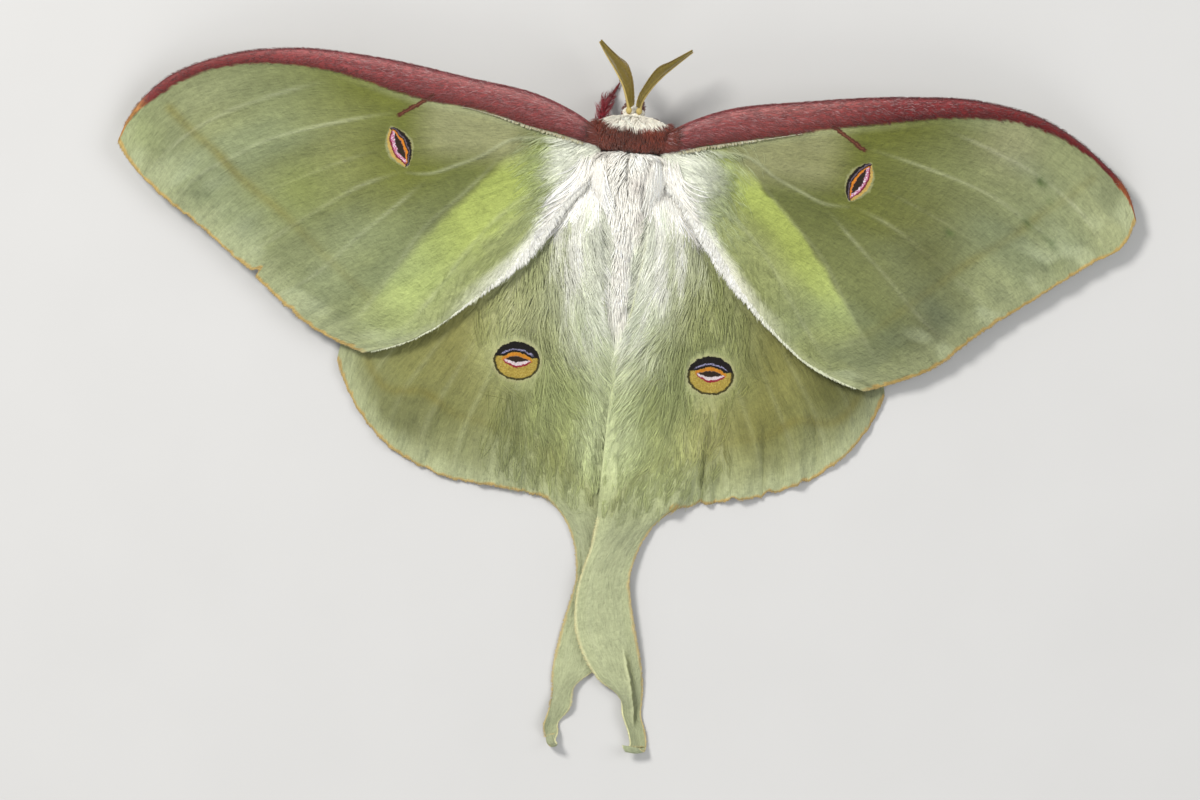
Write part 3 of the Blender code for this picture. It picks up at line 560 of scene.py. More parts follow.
def fore_colour(side, x, y, s, t, pale):
    ax = np.abs(x)
    c = mix(GREEN["mid"], GREEN["outer"], smooth(t + 0.10 * fractal(s * 4, t * 3, 44, 2), 0.45, 0.82))
    c = mix(c, GREEN["inner"], smooth(s, 0.50, 0.86) * smooth(t, 0.98, 0.6) * 0.85)
    d, w = to_line(ax, y, BRIGHT[side])
    line = np.array(BRIGHT[side])
    above = y > np.interp(ax, line[:, 0], line[:, 1])
    wob = 0.25 * noise(ax * 0.7, y * 0.7, 47)
    # on the streak's outer side a darker band is laid: painted shade beside the vein that bounds the streak
    if side > 0:
        patch = np.where(above, smooth(d + wob, 1.5, 0.95), np.exp(-(d / (1.3 + 0.7 * w)) ** 2))
        c = mix(c, rgb(96, 103, 62), 0.62 * above * smooth(d + wob, 0.9, 1.7) * smooth(d, 8.5, 3.5) * smooth(w, 0.12, 0.35) * smooth(t, 0.97, 0.8))
    else:
        patch = np.where(above, smooth(d + wob, 2.7, 1.6), smooth(d + 2 * wob, 3.6, 0.8))
        c = mix(c, rgb(100, 108, 66), 0.5 * above * smooth(d + wob, 1.9, 3.0) * smooth(d, 8.0, 4.0) * smooth(w, 0.2, 0.4) * smooth(t, 0.9, 0.7))
    c = mix(c, mix(GREEN["bright"], rgb(168, 182, 112), smooth(w, 0.5, 0.9)), (0.85 if side > 0 else 0.74) * patch * smooth(w, 1.0, 0.8) * smooth(w, -0.02, 0.06))
    cell = smooth(y, -6.0, -2.5) * smooth(ax, 24, 19) * smooth(ax, 8, 13)
    c = mix(c, GREEN["cell"], 0.75 * cell)
    c = mix(c, GREEN["olive"], 0.20 * smooth(fractal(s * 6, t * 3, 5 + side, 3), 0.0, 0.7) * smooth(t, 0.25, 0.4) * smooth(t, 0.95, 0.8))
    # paler on the veins
    c = mix(c, GREEN["vein"], 0.60 * np.clip(pale, 0, 1))
    streak = fractal(s * 85, t * 7, 61, 3)
    wide = fractal(s * 9 + 2 * side, t * 2.6, 35 + side, 3)
    c = c * (1 + 0.10 * streak + 0.05 * fractal(ax * 1.1, y * 1.1, 31, 3) + 0.17 * wide * smooth(t, 0.25, 0.5))[..., None]
    c = mix(c, rgb(122, 134, 108), (0.42 if side > 0 else 0.26) * smooth(fractal(s * 7 + 9, t * 3.4, 38 + side, 2), -0.1, 0.45) * smooth(t, 0.45, 0.75))
    # broad painted light and shade, with some of the wing's own tone
    c = painted_light_and_tone(c, ("fore", side), ax, y)
    d, w = to_line(ax, y, PM_FORE)
    spots = 0.45 + 0.55 * smooth(noise(w * 17, 0.3, 77), -0.3, 0.6)
    spots = mix(spots, 0.75 + 0.9 * spots, smooth(ax, 34, 40)) if side < 0 else spots
    c = mix(c, GREEN["line"], np.clip(0.42 * np.exp(-(d / 0.5) ** 2) * spots * smooth(w, 1.0, 0.75), 0, 1))
    # small dark scars in the right wing's outer part
    for a, b, reach, much in ((42.7, -2.1, 0.62, 0.62), (41.6, -6.4, 0.70, 0.50), (44.2, -8.4, 1.25, 0.55), (33.5, -8.1, 0.50, 0.60),
                              (43.6, -4.0, 0.45, 0.30)) if side > 0 else ():
        u, v = (ax - a) * 0.72 - (y - b) * 0.69, (ax - a) * 0.69 + (y - b) * 0.72
        v = v + 0.25 * noise(ax * 2.2, y * 2.2, 93)
        c = mix(c, rgb(74, 92, 50), min(1.45 * much, 0.9) * np.exp(-(u / reach) ** 2 - (v / 0.34) ** 2))
    # rim: pale, then a thin orange-yellow edge
    out_d, _ = to_line(ax, y, [(abs(p[0]), p[1]) for p in FORE[side]["outer"]], 80)
    much = 0.6 if side > 0 else 0.3
    c = mix(c, rgb(106, 114, 88), much * 0.8 * smooth(fractal(s * 15 + 3, t * 7, 51 + side, 2), 0.02, 0.45) * smooth(out_d, 9.0, 3.0))
    c = mix(c, rgb(184, 193, 160), much * smooth(fractal(s * 12 + 1.5 * t, t * 9, 55 + side, 2), -0.05, 0.35) * smooth(out_d + 1.2 * noise(s * 22, 0.4, 52), 6.5, 0.8))
    c = mix(c, GREEN["rim"], 0.5 * smooth(out_d + 0.6 * noise(s * 40, 2.2, 6), 3.4, 0.6))
    c = mix(c, GREEN["edge"], 0.72 * smooth(out_d - margin_shift(side, s, "fore") * (t > 0.9) + 0.12 * noise(s * 90, 1.1, 8), 0.30, 0.08))
    trail_d, trail_w = to_line(ax, y, [(abs(p[0]), p[1]) for p in FORE[side]["trail"]], 60)
    c = mix(c, GREEN["rim"], 0.6 * smooth(trail_d, 0.9, 0.2) * smooth(trail_w, 0.3, 0.5))
    c = mix(c, GREEN["white"], 0.9 * smooth(trail_d, 1.9, 0.5) * smooth(trail_w, 0.75, 0.25))
    c = mix(c, GREEN["white"], 0.8 * smooth(np.hypot(ax - 3.0, (y + 3.2) * 0.8) + 0.8 * noise(ax, y, 2), 4.8, 2.0))
    # rose-maroon front edge
    q, lead_d = band_share(side, x, y)
    rose = mix(ROSE["top"], ROSE["mid"], smooth(q, 0.0, 0.45))
    rose = mix(rose, rgb(134, 66, 68), smooth(q, 0.10, 0.0))
    rose = mix(rose, ROSE["low"], smooth(q, 0.5, 1.0))
    rose = mix(rose, ROSE["tip"], 0.65 * smooth(ax, 30, 44))
    rose = mix(rose, ROSE["orange"], 0.88 * smooth(ax - 0.5 * y, 50.2, 52.6))
    rose = rose * (1 + 0.22 * fractal(ax * 4.0, y * 7.0, 71, 3))[..., None]
    rose = mix(rose, rgb(214, 176, 176), 0.30 * smooth(fractal(ax * 5.0, y * 9.0, 72, 2), 0.25, 0.8) * smooth(q, 0.9, 0.2) * smooth(ax, 40, 25))
    # further out the band darkens on both wings; on the right wing much more, to purple-maroon: its own colour deepened
    # by painted shade, as on the rest of that wing
    if side > 0:
        rose = rose * mix(np.ones(3), np.array((0.60, 0.33, 0.37)), smooth(ax, 16, 29))
    else:
        rose = rose * mix(np.ones(3), np.array((0.86, 0.82, 0.84)), smooth(ax, 14, 24) * smooth(ax, 40, 30))
        rose = rose * mix(np.ones(3), np.array((0.78, 0.84, 0.84)), smooth(ax, 34, 42) * smooth(ax, 52, 49))
    seam = (5.0 if side > 0 else 4.7) + 0.08 * noise(y * 3, 0.5, 74)
    rose = mix(rose, rgb(108, 50, 38) * (1 + 0.2 * fractal(ax * 5, y * 3, 73, 2))[..., None], 0.92 * smooth(ax, seam + 0.12, seam - 0.12))
    rose = mix(rose, rgb(50, 26, 20), 0.8 * np.exp(-((ax - seam) / 0.13) ** 2))
    band = smooth(q + 0.04 * noise(ax * 3, 3.3, 9), 1.02, 0.95) * smooth(ax - 0.5 * y, 56.2, 54.6)
    light = smooth(q, 1.0, 1.06) * smooth(q, 1.5, 1.1) * smooth(ax, 34, 20)
    c = mix(c, GREEN["rim"], 0.35 * light)
    c = mix(c, rose, band)
    return np.clip(c, 0, 1)


def hind_colour(side, x, y, s, t, pale):
    xx = x * side
    c = mix(GREEN["hind"], GREEN["hind_in"], smooth(s, 0.5, 0.8) * 0.9)
    c = mix(c, GREEN["outer"], 0.45 * smooth(t, 0.62, 0.95) * smooth(t, 1.15, 1.0) * smooth(s, 0.85, 0.7))
    c = mix(c, rgb(156, 163, 114), 0.8 * smooth(xx, 17, 10) * smooth(y, -31, -23) * (t < 1))
    # the tails are streaked along their length
    long = fractal((s - TAIL_FROM) * 26 + 2 * side, t * 1.3, 95 + side, 2)
    c = mix(c, rgb(150, 160, 118), 0.55 * smooth(long, 0.0, 0.5) * smooth(t, 0.9, 1.15))
    c = mix(c, rgb(196, 202, 150), 0.50 * smooth(long, 0.0, -0.5) * smooth(t, 0.9, 1.15))
    c = mix(c, GREEN["tail"] * np.array((0.90, 0.90, 0.96)), smooth(t, 0.8, 1.12))
    c = mix(c, GREEN["olive"], 0.34 * smooth(fractal(s * 7, t * 3, 15 + side, 3), 0.0, 0.7) * smooth(t, 0.3, 0.5) * smooth(t, 1.0, 0.9))
    c = mix(c, GREEN["vein"], 0.4 * np.clip(pale, 0, 1) * smooth(t, 0.55, 0.8))
    streak = fractal(s * 120, t * 8, 62, 3)
    wide = fractal(s * 11 + 2 * side, t * 2.4, 45 + side, 3)
    c = c * (1 + 0.10 * streak + 0.05 * fractal(xx * 1.1, y * 1.1, 33, 3) + 0.15 * wide * smooth(t, 0.4, 0.7))[..., None]
    d, w = to_line(xx, y, PM_HIND)
    spots = 0.4 + 0.6 * smooth(noise(w * 19, 0.3, 79), -0.3, 0.6)
    # broad painted light and shade, with some of the wing's own tone
    c = painted_light_and_tone(c, ("hind", side), xx, y)
    if side > 0:
        # on the right tail a painted shadow beside its fold, and a painted highlight along the fold's near edge
        fold_d, fold_w = to_line(xx, y, [(3.1, -53.0), (3.7, -55.4), (4.3, -57.5), (4.75, -60.0), (4.95, -62.2)])
        right_of = xx > np.interp(-y, [53.0, 55.4, 57.5, 60.0, 62.2], [3.1, 3.7, 4.3, 4.75, 4.95])
        edge_on = smooth(fold_w, 0.02, 0.25) * smooth(fold_w, 1.0, 0.85)
        c = mix(c, rgb(92, 96, 58), 0.8 * right_of * smooth(fold_d, 0.85, 0.05) * edge_on)
        c = mix(c, rgb(206, 210, 164), 0.6 * ~right_of * smooth(fold_d, 0.35, 0.05) * edge_on)
    c = mix(c, GREEN["line"], 0.5 * np.exp(-(d / 0.5) ** 2) * spots * smooth(t, 1.05, 0.98))
    out = [(p[0] * side, p[1]) for p in HIND[side]["outer"]]
    out_d, _ = to_line(xx, y, out, 80)
    out_d = np.where(s > TAIL_FROM, 9.0, out_d)
    tail = t > 1
    edge_a = [(p[0] * side, p[1]) for p in [HIND[side]["outer"][-1]] + TAIL[side]["out"][:8]]
    edge_b = [(p[0] * side, p[1]) for p in [HIND[side]["trail"][-1]] + TAIL[side]["inn"][:8]]
    da, _ = to_line(xx, y, edge_a, 60)
    db, _ = to_line(xx, y, edge_b, 60)
    q = np.clip((s - TAIL_FROM) / (1 - TAIL_FROM), 0, 1)
    da = np.where(tail, q * 6.0, np.where(s > TAIL_FROM - 0.03, da, 9.0))
    db = np.where(tail, (1 - q) * 6.0, np.where(s > 0.93, db, 9.0))
    c = mix(c, GREEN["rim"], 0.7 * smooth(out_d + 0.5 * noise(s * 50, 2.2, 16), 2.6, 0.5))
    c = mix(c, GREEN["rim"], 0.55 * smooth(np.minimum(da, db), 1.6, 0.3))
    c = mix(c, GREEN["edge"], 0.72 * smooth(out_d - margin_shift(side, s, "hind") * (t > 0.9) + 0.12 * noise(s * 120, 1.1, 18), 0.30, 0.08))
    c = mix(c, rgb(196, 168, 112), 0.6 * smooth(da + 0.1 * noise(t * 60, 1.1, 19), 0.30, 0.06))
    c = mix(c, rgb(214, 210, 160), 0.7 * smooth(db, 0.28, 0.06))
    return np.clip(c, 0, 1)


# ------------------------------------------------------------------ wings: mesh and material
def normals(points):
    n = unit(np.cross(np.gradient(points, axis=1), np.gradient(points, axis=0)))
    return -n if n[..., 2].mean() < 0 else n


def shell(name, points, n, up, down, cells, uv, attributes, mat, push=0.05):
    """A closed thin sheet: points (r, c, 3) with offsets up and down along the normals n, over the kept cells."""
    r, c = points.shape[:2]
    used = np.zeros((r, c), bool)
    used[:-1, :-1] |= cells
    used[1:, :-1] |= cells
    used[:-1, 1:] |= cells
    used[1:, 1:] |= cells
    index = np.full(r * c, -1)
    index[used.ravel()] = np.arange(used.sum())
    i, j = np.nonzero(cells)
    quad = np.stack([i * c + j, (i + 1) * c + j, (i + 1) * c + j + 1, i * c + j + 1], 1)
    quad = index[quad]
    p, nn = points[used], n[used]
    # turn the quads so that they look up
    q = quad[len(quad) // 3]
    if np.cross(p[q[1]] - p[q[0]], p[q[2]] - p[q[1]]) @ nn[q[0]] < 0:
        quad = quad[:, ::-1]
    count = len(p)
    edges = np.concatenate([quad[:, [k, (k + 1) % 4]] for k in range(4)])
    key = np.sort(edges, 1)
    _, first, times = np.unique(key, axis=0, return_index=True, return_counts=True)
    rim = edges[first[times == 1]]
    d = unit(p[rim[:, 1]] - p[rim[:, 0]])
    out = np.zeros_like(p)
    for k in (0, 1):
        np.add.at(out, rim[:, k], np.cross(d, nn[rim[:, 0]]))
    rim_ids = np.unique(rim)
    back = np.full(count, -1)
    back[rim_ids] = 2 * count + np.arange(len(rim_ids))
    top = p + nn * up[used][:, None]
    low = p - nn * down[used][:, None]
    thick = (up[used] + down[used])[rim_ids]
    mid = (top[rim_ids] + low[rim_ids]) / 2 + unit(out[rim_ids]) * (push + 0.3 * np.maximum(thick - MEMBRANE, 0))[:, None]
    verts = np.concatenate([top, low, mid])
    a, b = rim[:, 0], rim[:, 1]
    upper = np.concatenate([quad, np.stack([b, a, back[a], back[b]], 1)])
    lower = np.concatenate([quad[:, ::-1] + count, np.stack([a + count, b + count, back[b], back[a]], 1)])
    plan = np.concatenate([uv[used], uv[used], uv[used][rim_ids] + unit(out[rim_ids])[:, :2] * push])
    span = plan.max(0) - plan.min(0)
    plan = (plan - plan.min(0)) / span
    tall = span[1] > span[0]
    pair = []
    for half in (1, 0):
        m = plan.copy()
        k = 0 if tall else 1
        m[:, k] = 0.01 + 0.5 * half + 0.47 * m[:, k]
        m[:, 1 - k] = 0.01 + 0.98 * m[:, 1 - k]
        pair.append(m)
    loops = np.concatenate([pair[0][upper].reshape(-1, 2), pair[1][lower].reshape(-1, 2)])
    full = {}
    for k, v in attributes.items():
        v = v[used]
        full[k] = np.concatenate([v, v, v[rim_ids]])
    full["Under"] = np.concatenate([np.zeros(count), np.ones(count), np.full(len(rim_ids), 0.5)])
    obj = new_mesh(name, verts, quads=np.concatenate([upper, lower]), attributes=full, mat=mat)
    layer = obj.data.uv_layers.new(name="OFBake")
    layer.uv.foreach_set("vector", loops.astype(np.float32).ravel())
    return obj


def wing_material(name, eye):
    mat, tree, shader = material(name, rough=0.78, specular=0.16, sheen=0.12)
    shader.inputs["Transmission Weight"].default_value = 0.0
    base = attribute(tree, "Col")
    flow = attribute(tree, "Flow", "Vector")
    spot = attribute(tree, "Spot", "Vector")
    under = Ex(tree, attribute(tree, "Under", "Fac"))
    furry = Ex(tree, attribute(tree, "Rose", "Fac"))
    coord = tree.nodes.new("ShaderNodeTexCoord").outputs["Object"]
    # fine streaks along the veins, then tiny scales
    streak = Ex(tree, texture(tree, "ShaderNodeTexNoise", flow, 1.0, 4, 0.62, (9.0, 0.9, 1.0)).outputs["Fac"])
    fleck = Ex(tree, texture(tree, "ShaderNodeTexNoise", coord, 9000.0, 2, 0.6).outputs["Fac"])
    cloud = Ex(tree, texture(tree, "ShaderNodeTexNoise", coord, 420.0, 3, 0.55).outputs["Fac"])
    nap = Ex(tree, texture(tree, "ShaderNodeTexNoise", flow, 1.0, 3, 0.65, (3.8, 1.0, 1.0)).outputs["Fac"])
    crease = Ex(tree, texture(tree, "ShaderNodeTexNoise", flow, 1.0, 3, 0.6, (1.2, 2.9, 1.0)).outputs["Fac"])
    shade = (streak.step(0.28, 0.72) * 0.22 + fleck.step(0.25, 0.8) * 0.16 + cloud.step(0.25, 0.75) * 0.14
             + nap.step(0.3, 0.7) * 0.15 + crease.step(0.3, 0.7) * 0.08 + 0.62)
    node = tree.nodes.new("ShaderNodeHueSaturation")
    tree.links.new(shade.socket, node.inputs["Value"])
    tree.links.new(base, node.inputs["Color"])
    colour = node.outputs["Color"]
    # the eye, drawn from curves in its own coordinates (mm)
    split = tree.nodes.new("ShaderNodeSeparateXYZ")
    tree.links.new(spot, split.inputs[0])
    wob = texture(tree, "ShaderNodeTexNoise", coord, 5200.0, 3, 0.7)
    wobs = tree.nodes.new("ShaderNodeSeparateColor")
    tree.links.new(wob.outputs["Color"], wobs.inputs[0])
    slow = tree.nodes.new("ShaderNodeSeparateColor")
    tree.links.new(texture(tree, "ShaderNodeTexNoise", coord, 1500.0, 2, 0.5).outputs["Color"], slow.inputs[0])
    u = Ex(tree, split.outputs["X"]) + (Ex(tree, wobs.outputs[0]) - 0.5) * 0.32 + (Ex(tree, slow.outputs[0]) - 0.5) * 0.36
    v = Ex(tree, split.outputs["Y"]) + (Ex(tree, wobs.outputs[1]) - 0.5) * 0.32 + (Ex(tree, slow.outputs[1]) - 0.5) * 0.30
    grain = Ex(tree, texture(tree, "ShaderNodeTexVoronoi", coord, 7500.0).outputs["Distance"])
    speck = Ex(tree, texture(tree, "ShaderNodeTexNoise", coord, 7000.0, 2, 0.6).outputs["Fac"])
    soft = 0.05
    if eye == "hind":
        uu = u * u
        r = ((u * (1 / 2.42)) * (u * (1 / 2.42)) + (v * (1 / 1.99)) * (v * (1 / 1.99))).sqrt()
        inside = r.step(1.02, 0.98)
        top = 0.90 - uu * 0.235
        low = 0.49 - uu * 0.185
        layers = [
            ((179, 171, 131), r.step(1.2, 1.0) * 0.35),
            ((55, 51, 21), inside),
            ((162, 141, 62), r.step(0.93, 0.86)),
            ((132, 104, 40), r.step(0.93, 0.86) * speck.step(0.50, 0.68) * 0.6),
            ((190, 170, 98), r.step(0.9, 0.8) * speck.step(0.46, 0.36) * 0.5),
            ((18, 14, 11), inside * (v - top.max(0.42)).step(-soft, soft)),
            ((134, 28, 46), (v - (uu * 0.29 - 0.66)).step(-soft, soft) * (low - v).step(-soft, soft)),
            ((214, 205, 207), (v - (uu * 0.26 - 0.43)).step(-soft, soft) * (low - v).step(-soft, soft) * (0.72 + speck.step(0.35, 0.6) * 0.28)),
            ((166, 83, 104), (v - (uu * 0.26 - 0.43)).step(-soft, soft) * (low - v).step(-soft, soft) * speck.step(0.56, 0.66) * 0.75),
            ((188, 124, 34), (v - low).step(-soft, soft) * (top - v).step(-soft, soft) * u.abs().step(1.72, 1.5)),
            ((171, 87, 16), (v - low).step(-soft, soft) * (top - v).step(-soft, soft) * u.abs().step(1.72, 1.5) * speck.step(0.52, 0.7) * 0.6),
            ((41, 28, 18), (v - (uu * 0.17 - 0.10)).step(-soft, soft) * (low - v).step(-soft, soft)),
            ((150, 148, 180), (v - (1.2 - uu * 0.2)).abs().step(0.11, 0.03) * u.abs().step(1.8, 1.45) * (0.4 + speck.step(0.4, 0.6) * 0.6)),
        ]
    else:
        l = v * (1 / 2.2)
        ll = l * l
        arc = 1.0 - ll
        arch = arc.max(0.0).sqrt()
        inside = l.abs().step(1.01, 0.97)
        low1 = (arch * 0.4 + arc * 0.6) * -1.26
        a_line = (1.0 - (v * (1 / 2.0)) * (v * (1 / 2.0))) * -0.66
        b_line = (1.0 - (v * (1 / 1.85)) * (v * (1 / 1.85))) * -0.43
        c_line = (1.0 - (v * (1 / 1.75)) * (v * (1 / 1.75))) * 0.58 - 0.28
        d_line = (1.0 - (v * (1 / 1.9)) * (v * (1 / 1.9))) * 0.60
        e_line = (1.0 - (v * (1 / 2.1)) * (v * (1 / 2.1))) * 0.78
        f_line = (arch * 0.35 + arc * 0.65) * 1.10
        g_line = (1.15 - ll) * 1.22
        h_line = (1.15 - ll) * -1.32
        dark = (u - low1).step(-soft, soft) * (f_line - u).step(-soft, soft) * inside
        layers = [
            ((166, 166, 124), (u - h_line * 0.97).step(-0.12, 0.12) * (g_line * 0.97 - u).step(-0.12, 0.12) * 0.5),
            ((178, 155, 83), dark),
            ((187, 131, 72), dark * (u - f_line * 0.86).abs().step(0.1, 0.0) * 0.5),
            ((109, 25, 44), (u - b_line).step(-soft, soft) * (e_line - u).step(-soft, soft) * inside),
            ((20, 16, 14), (u - low1).step(-soft, soft) * (b_line - u).step(-soft, soft) * inside),
            ((104, 90, 101), (u - (1.0 - ll) * -0.86).abs().step(0.10, 0.02) * inside * 0.8),
            ((174, 98, 130), (u - b_line).step(-soft, soft) * (d_line - u).step(-soft, soft) * v.abs().step(1.95, 1.7)),
            ((219, 210, 217), (u - b_line).step(-soft, soft) * (d_line - u).step(0.0, 0.1) * v.abs().step(1.95, 1.6) * speck.step(0.46, 0.60)),
            ((41, 30, 20), (u - b_line).step(-soft, soft) * (c_line - u).step(-soft, soft)),
            ((199, 120, 30), (u - a_line).step(-soft, soft) * (b_line - u).step(-soft, soft) * v.abs().step(2.0, 1.8)),
        ]
    if eye == "fore":
        # short branch of the rosy band towards the eye
        mid = v + u * 0.106 - 2.89 + (Ex(tree, wobs.outputs[0]) - 0.5) * 0.25
        layers.append(((78, 38, 26), mid.abs().step(0.26, 0.16) * (u + 1.0).step(0.1, -0.25) * (u + 5.6).step(0.0, 0.2)))
        layers.append(((116, 72, 50), mid.abs().step(0.10, 0.02) * (u + 1.3).step(0.1, -0.25) * (u + 5.0).step(0.0, 0.2) * 0.7))
    for shade_rgb, mask in layers:
        colour = blend_colour(tree, colour, tuple(rgb(*shade_rgb)), mask)
    # paler, plainer underside
    paler = blend_colour(tree, colour, tuple(rgb(176, 186, 148)), under.step(0.55, 0.95) * (1.0 - furry * 0.75) * 0.5)
    tree.links.new(paler, shader.inputs["Base Color"])
    fine = Ex(tree, texture(tree, "ShaderNodeTexNoise", flow, 1.0, 3, 0.6, (26.0, 2.4, 1.0)).outputs["Fac"])
    ripple = Ex(tree, texture(tree, "ShaderNodeTexNoise", flow, 1.0, 4, 0.6, (1.5, 0.8, 1.0)).outputs["Fac"])
    height = streak * 0.5 + fine * 0.25 + fleck * 0.1 + grain * 0.05 + ripple * 1.4 + nap * 0.75 + crease * 0.55
    bump(tree, shader, height, 0.00022, 0.9)
    rough = (0.62 + fleck * 0.3)
    tree.links.new(rough.socket, shader.inputs["Roughness"])
    return mat


def build_forewing(side):
    word = "right" if side > 0 else "left"
    s = np.r_[0.15 * (1 - np.cos(np.linspace(0, np.pi / 2, 30))), np.linspace(0.15, 0.97, 118)[1:], np.linspace(0.97, 1, 9)[1:]]
    t = np.r_[np.linspace(0, 0.955, 140), 0.955 + 0.045 * np.sin(np.linspace(0, np.pi / 2, 15)[1:])]
    S, T = np.meshgrid(s, t, indexing="ij")
    length = 52.0
    TE = T - margin_shift(side, S, "fore") / length * smooth(T, 0.93, 1.0) * smooth(S, 0.0, 0.12)
    SE = S + 0.004 * noise(T * 40, 0.5, 5) * smooth(S, 0.95, 1.0) * smooth(T, 0.0, 0.2) * -1
    P = fore_surface(side, np.clip(SE, 0, 1), TE)
    x, y = P[..., 0].copy(), P[..., 1].copy()
    veins, pale, folds = fore_relief(side, x, y, S, T)
    P[..., 2] += folds * smooth(S, 0.04, 0.2)
    ax = np.abs(x)
    q, lead_d = band_share(side, x, y)
    q = np.clip(q, 0, 1)
    rod = 2.0 * (1 - 0.62 * np.minimum(1, T / 0.75)) * np.maximum(0, 1 - 0.93 * np.maximum(0, T - 0.75) / 0.25) * 0.5
    swell = np.sin(np.pi * np.clip(q * 0.94 + 0.06, 0, 1)) ** 0.62
    swell = np.where(q >= 1, 0, swell) * (0.45 + 0.55 * smooth(T, 0.0, 0.06))
    fur = rod * swell * 0.045 * fractal(ax * 7, y * 11, 17, 2)
    # fine wrinkles along the veins
    streak = 0.022 * fractal(S * 95, T * 9, 81 + side, 3) * smooth(S, 0.03, 0.12)
    up = MEMBRANE / 2 + veins + rod * swell + fur + streak
    down = MEMBRANE / 2 + 0.4 * veins + rod * swell * 0.9
    colour = fore_colour(side, x, y, S, T, pale)
    # painted shade over the right forewing's outer part, a little warmer too; none near the base
    right_wing_shade = 0.95 - 0.16 * smooth(y, -10, -20) * smooth(x, 24, 34) if side > 0 else np.ones_like(y)
    colour = mix(colour * right_wing_shade[..., None] * (np.array((1.0, 0.99, 0.94)) if side > 0 else 1.0), colour, smooth(np.hypot(ax, y + 4), 18, 9))
    a = np.array((0.447, 0.894))
    b = np.array((0.894, -0.447))
    rel = np.stack([ax - 23.8, y + 3.7], -1)
    spot = np.stack([rel @ b, rel @ a, np.zeros_like(x)], -1)
    chord = 24.0
    flow = np.stack([S * chord, T * 52.0, np.full_like(S, side * 3.0)], -1)
    cells = np.ones((len(s) - 1, len(t) - 1), bool)
    # the wing's tip is blunt
    blunt = (0.72 if side > 0 else 0.28) * np.exp(-((S - 0.085) / 0.062) ** 2) * smooth(T, 0.90, 1.0)
    P[..., 0] += side * 0.83 * blunt
    P[..., 1] -= 0.56 * blunt
    obj = shell(f"forewing_{word}_skin", P, normals(P), up, down, cells, P[..., :2].copy(),
                dict(Col=colour, Flow=flow, Spot=spot, Rose=(q < 1).astype(float)), WING_FORE)
    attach(obj, "root")
    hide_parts(f"forewing_{word}")
    n = normals(P)
    top, low = P + n * up[..., None], P - n * down[..., None]
    return dict(top=top, n=normals(top), s=S, t=T, q=q, colour=colour, cells=cells, lead=lead_d, low=low, low_n=-normals(low))


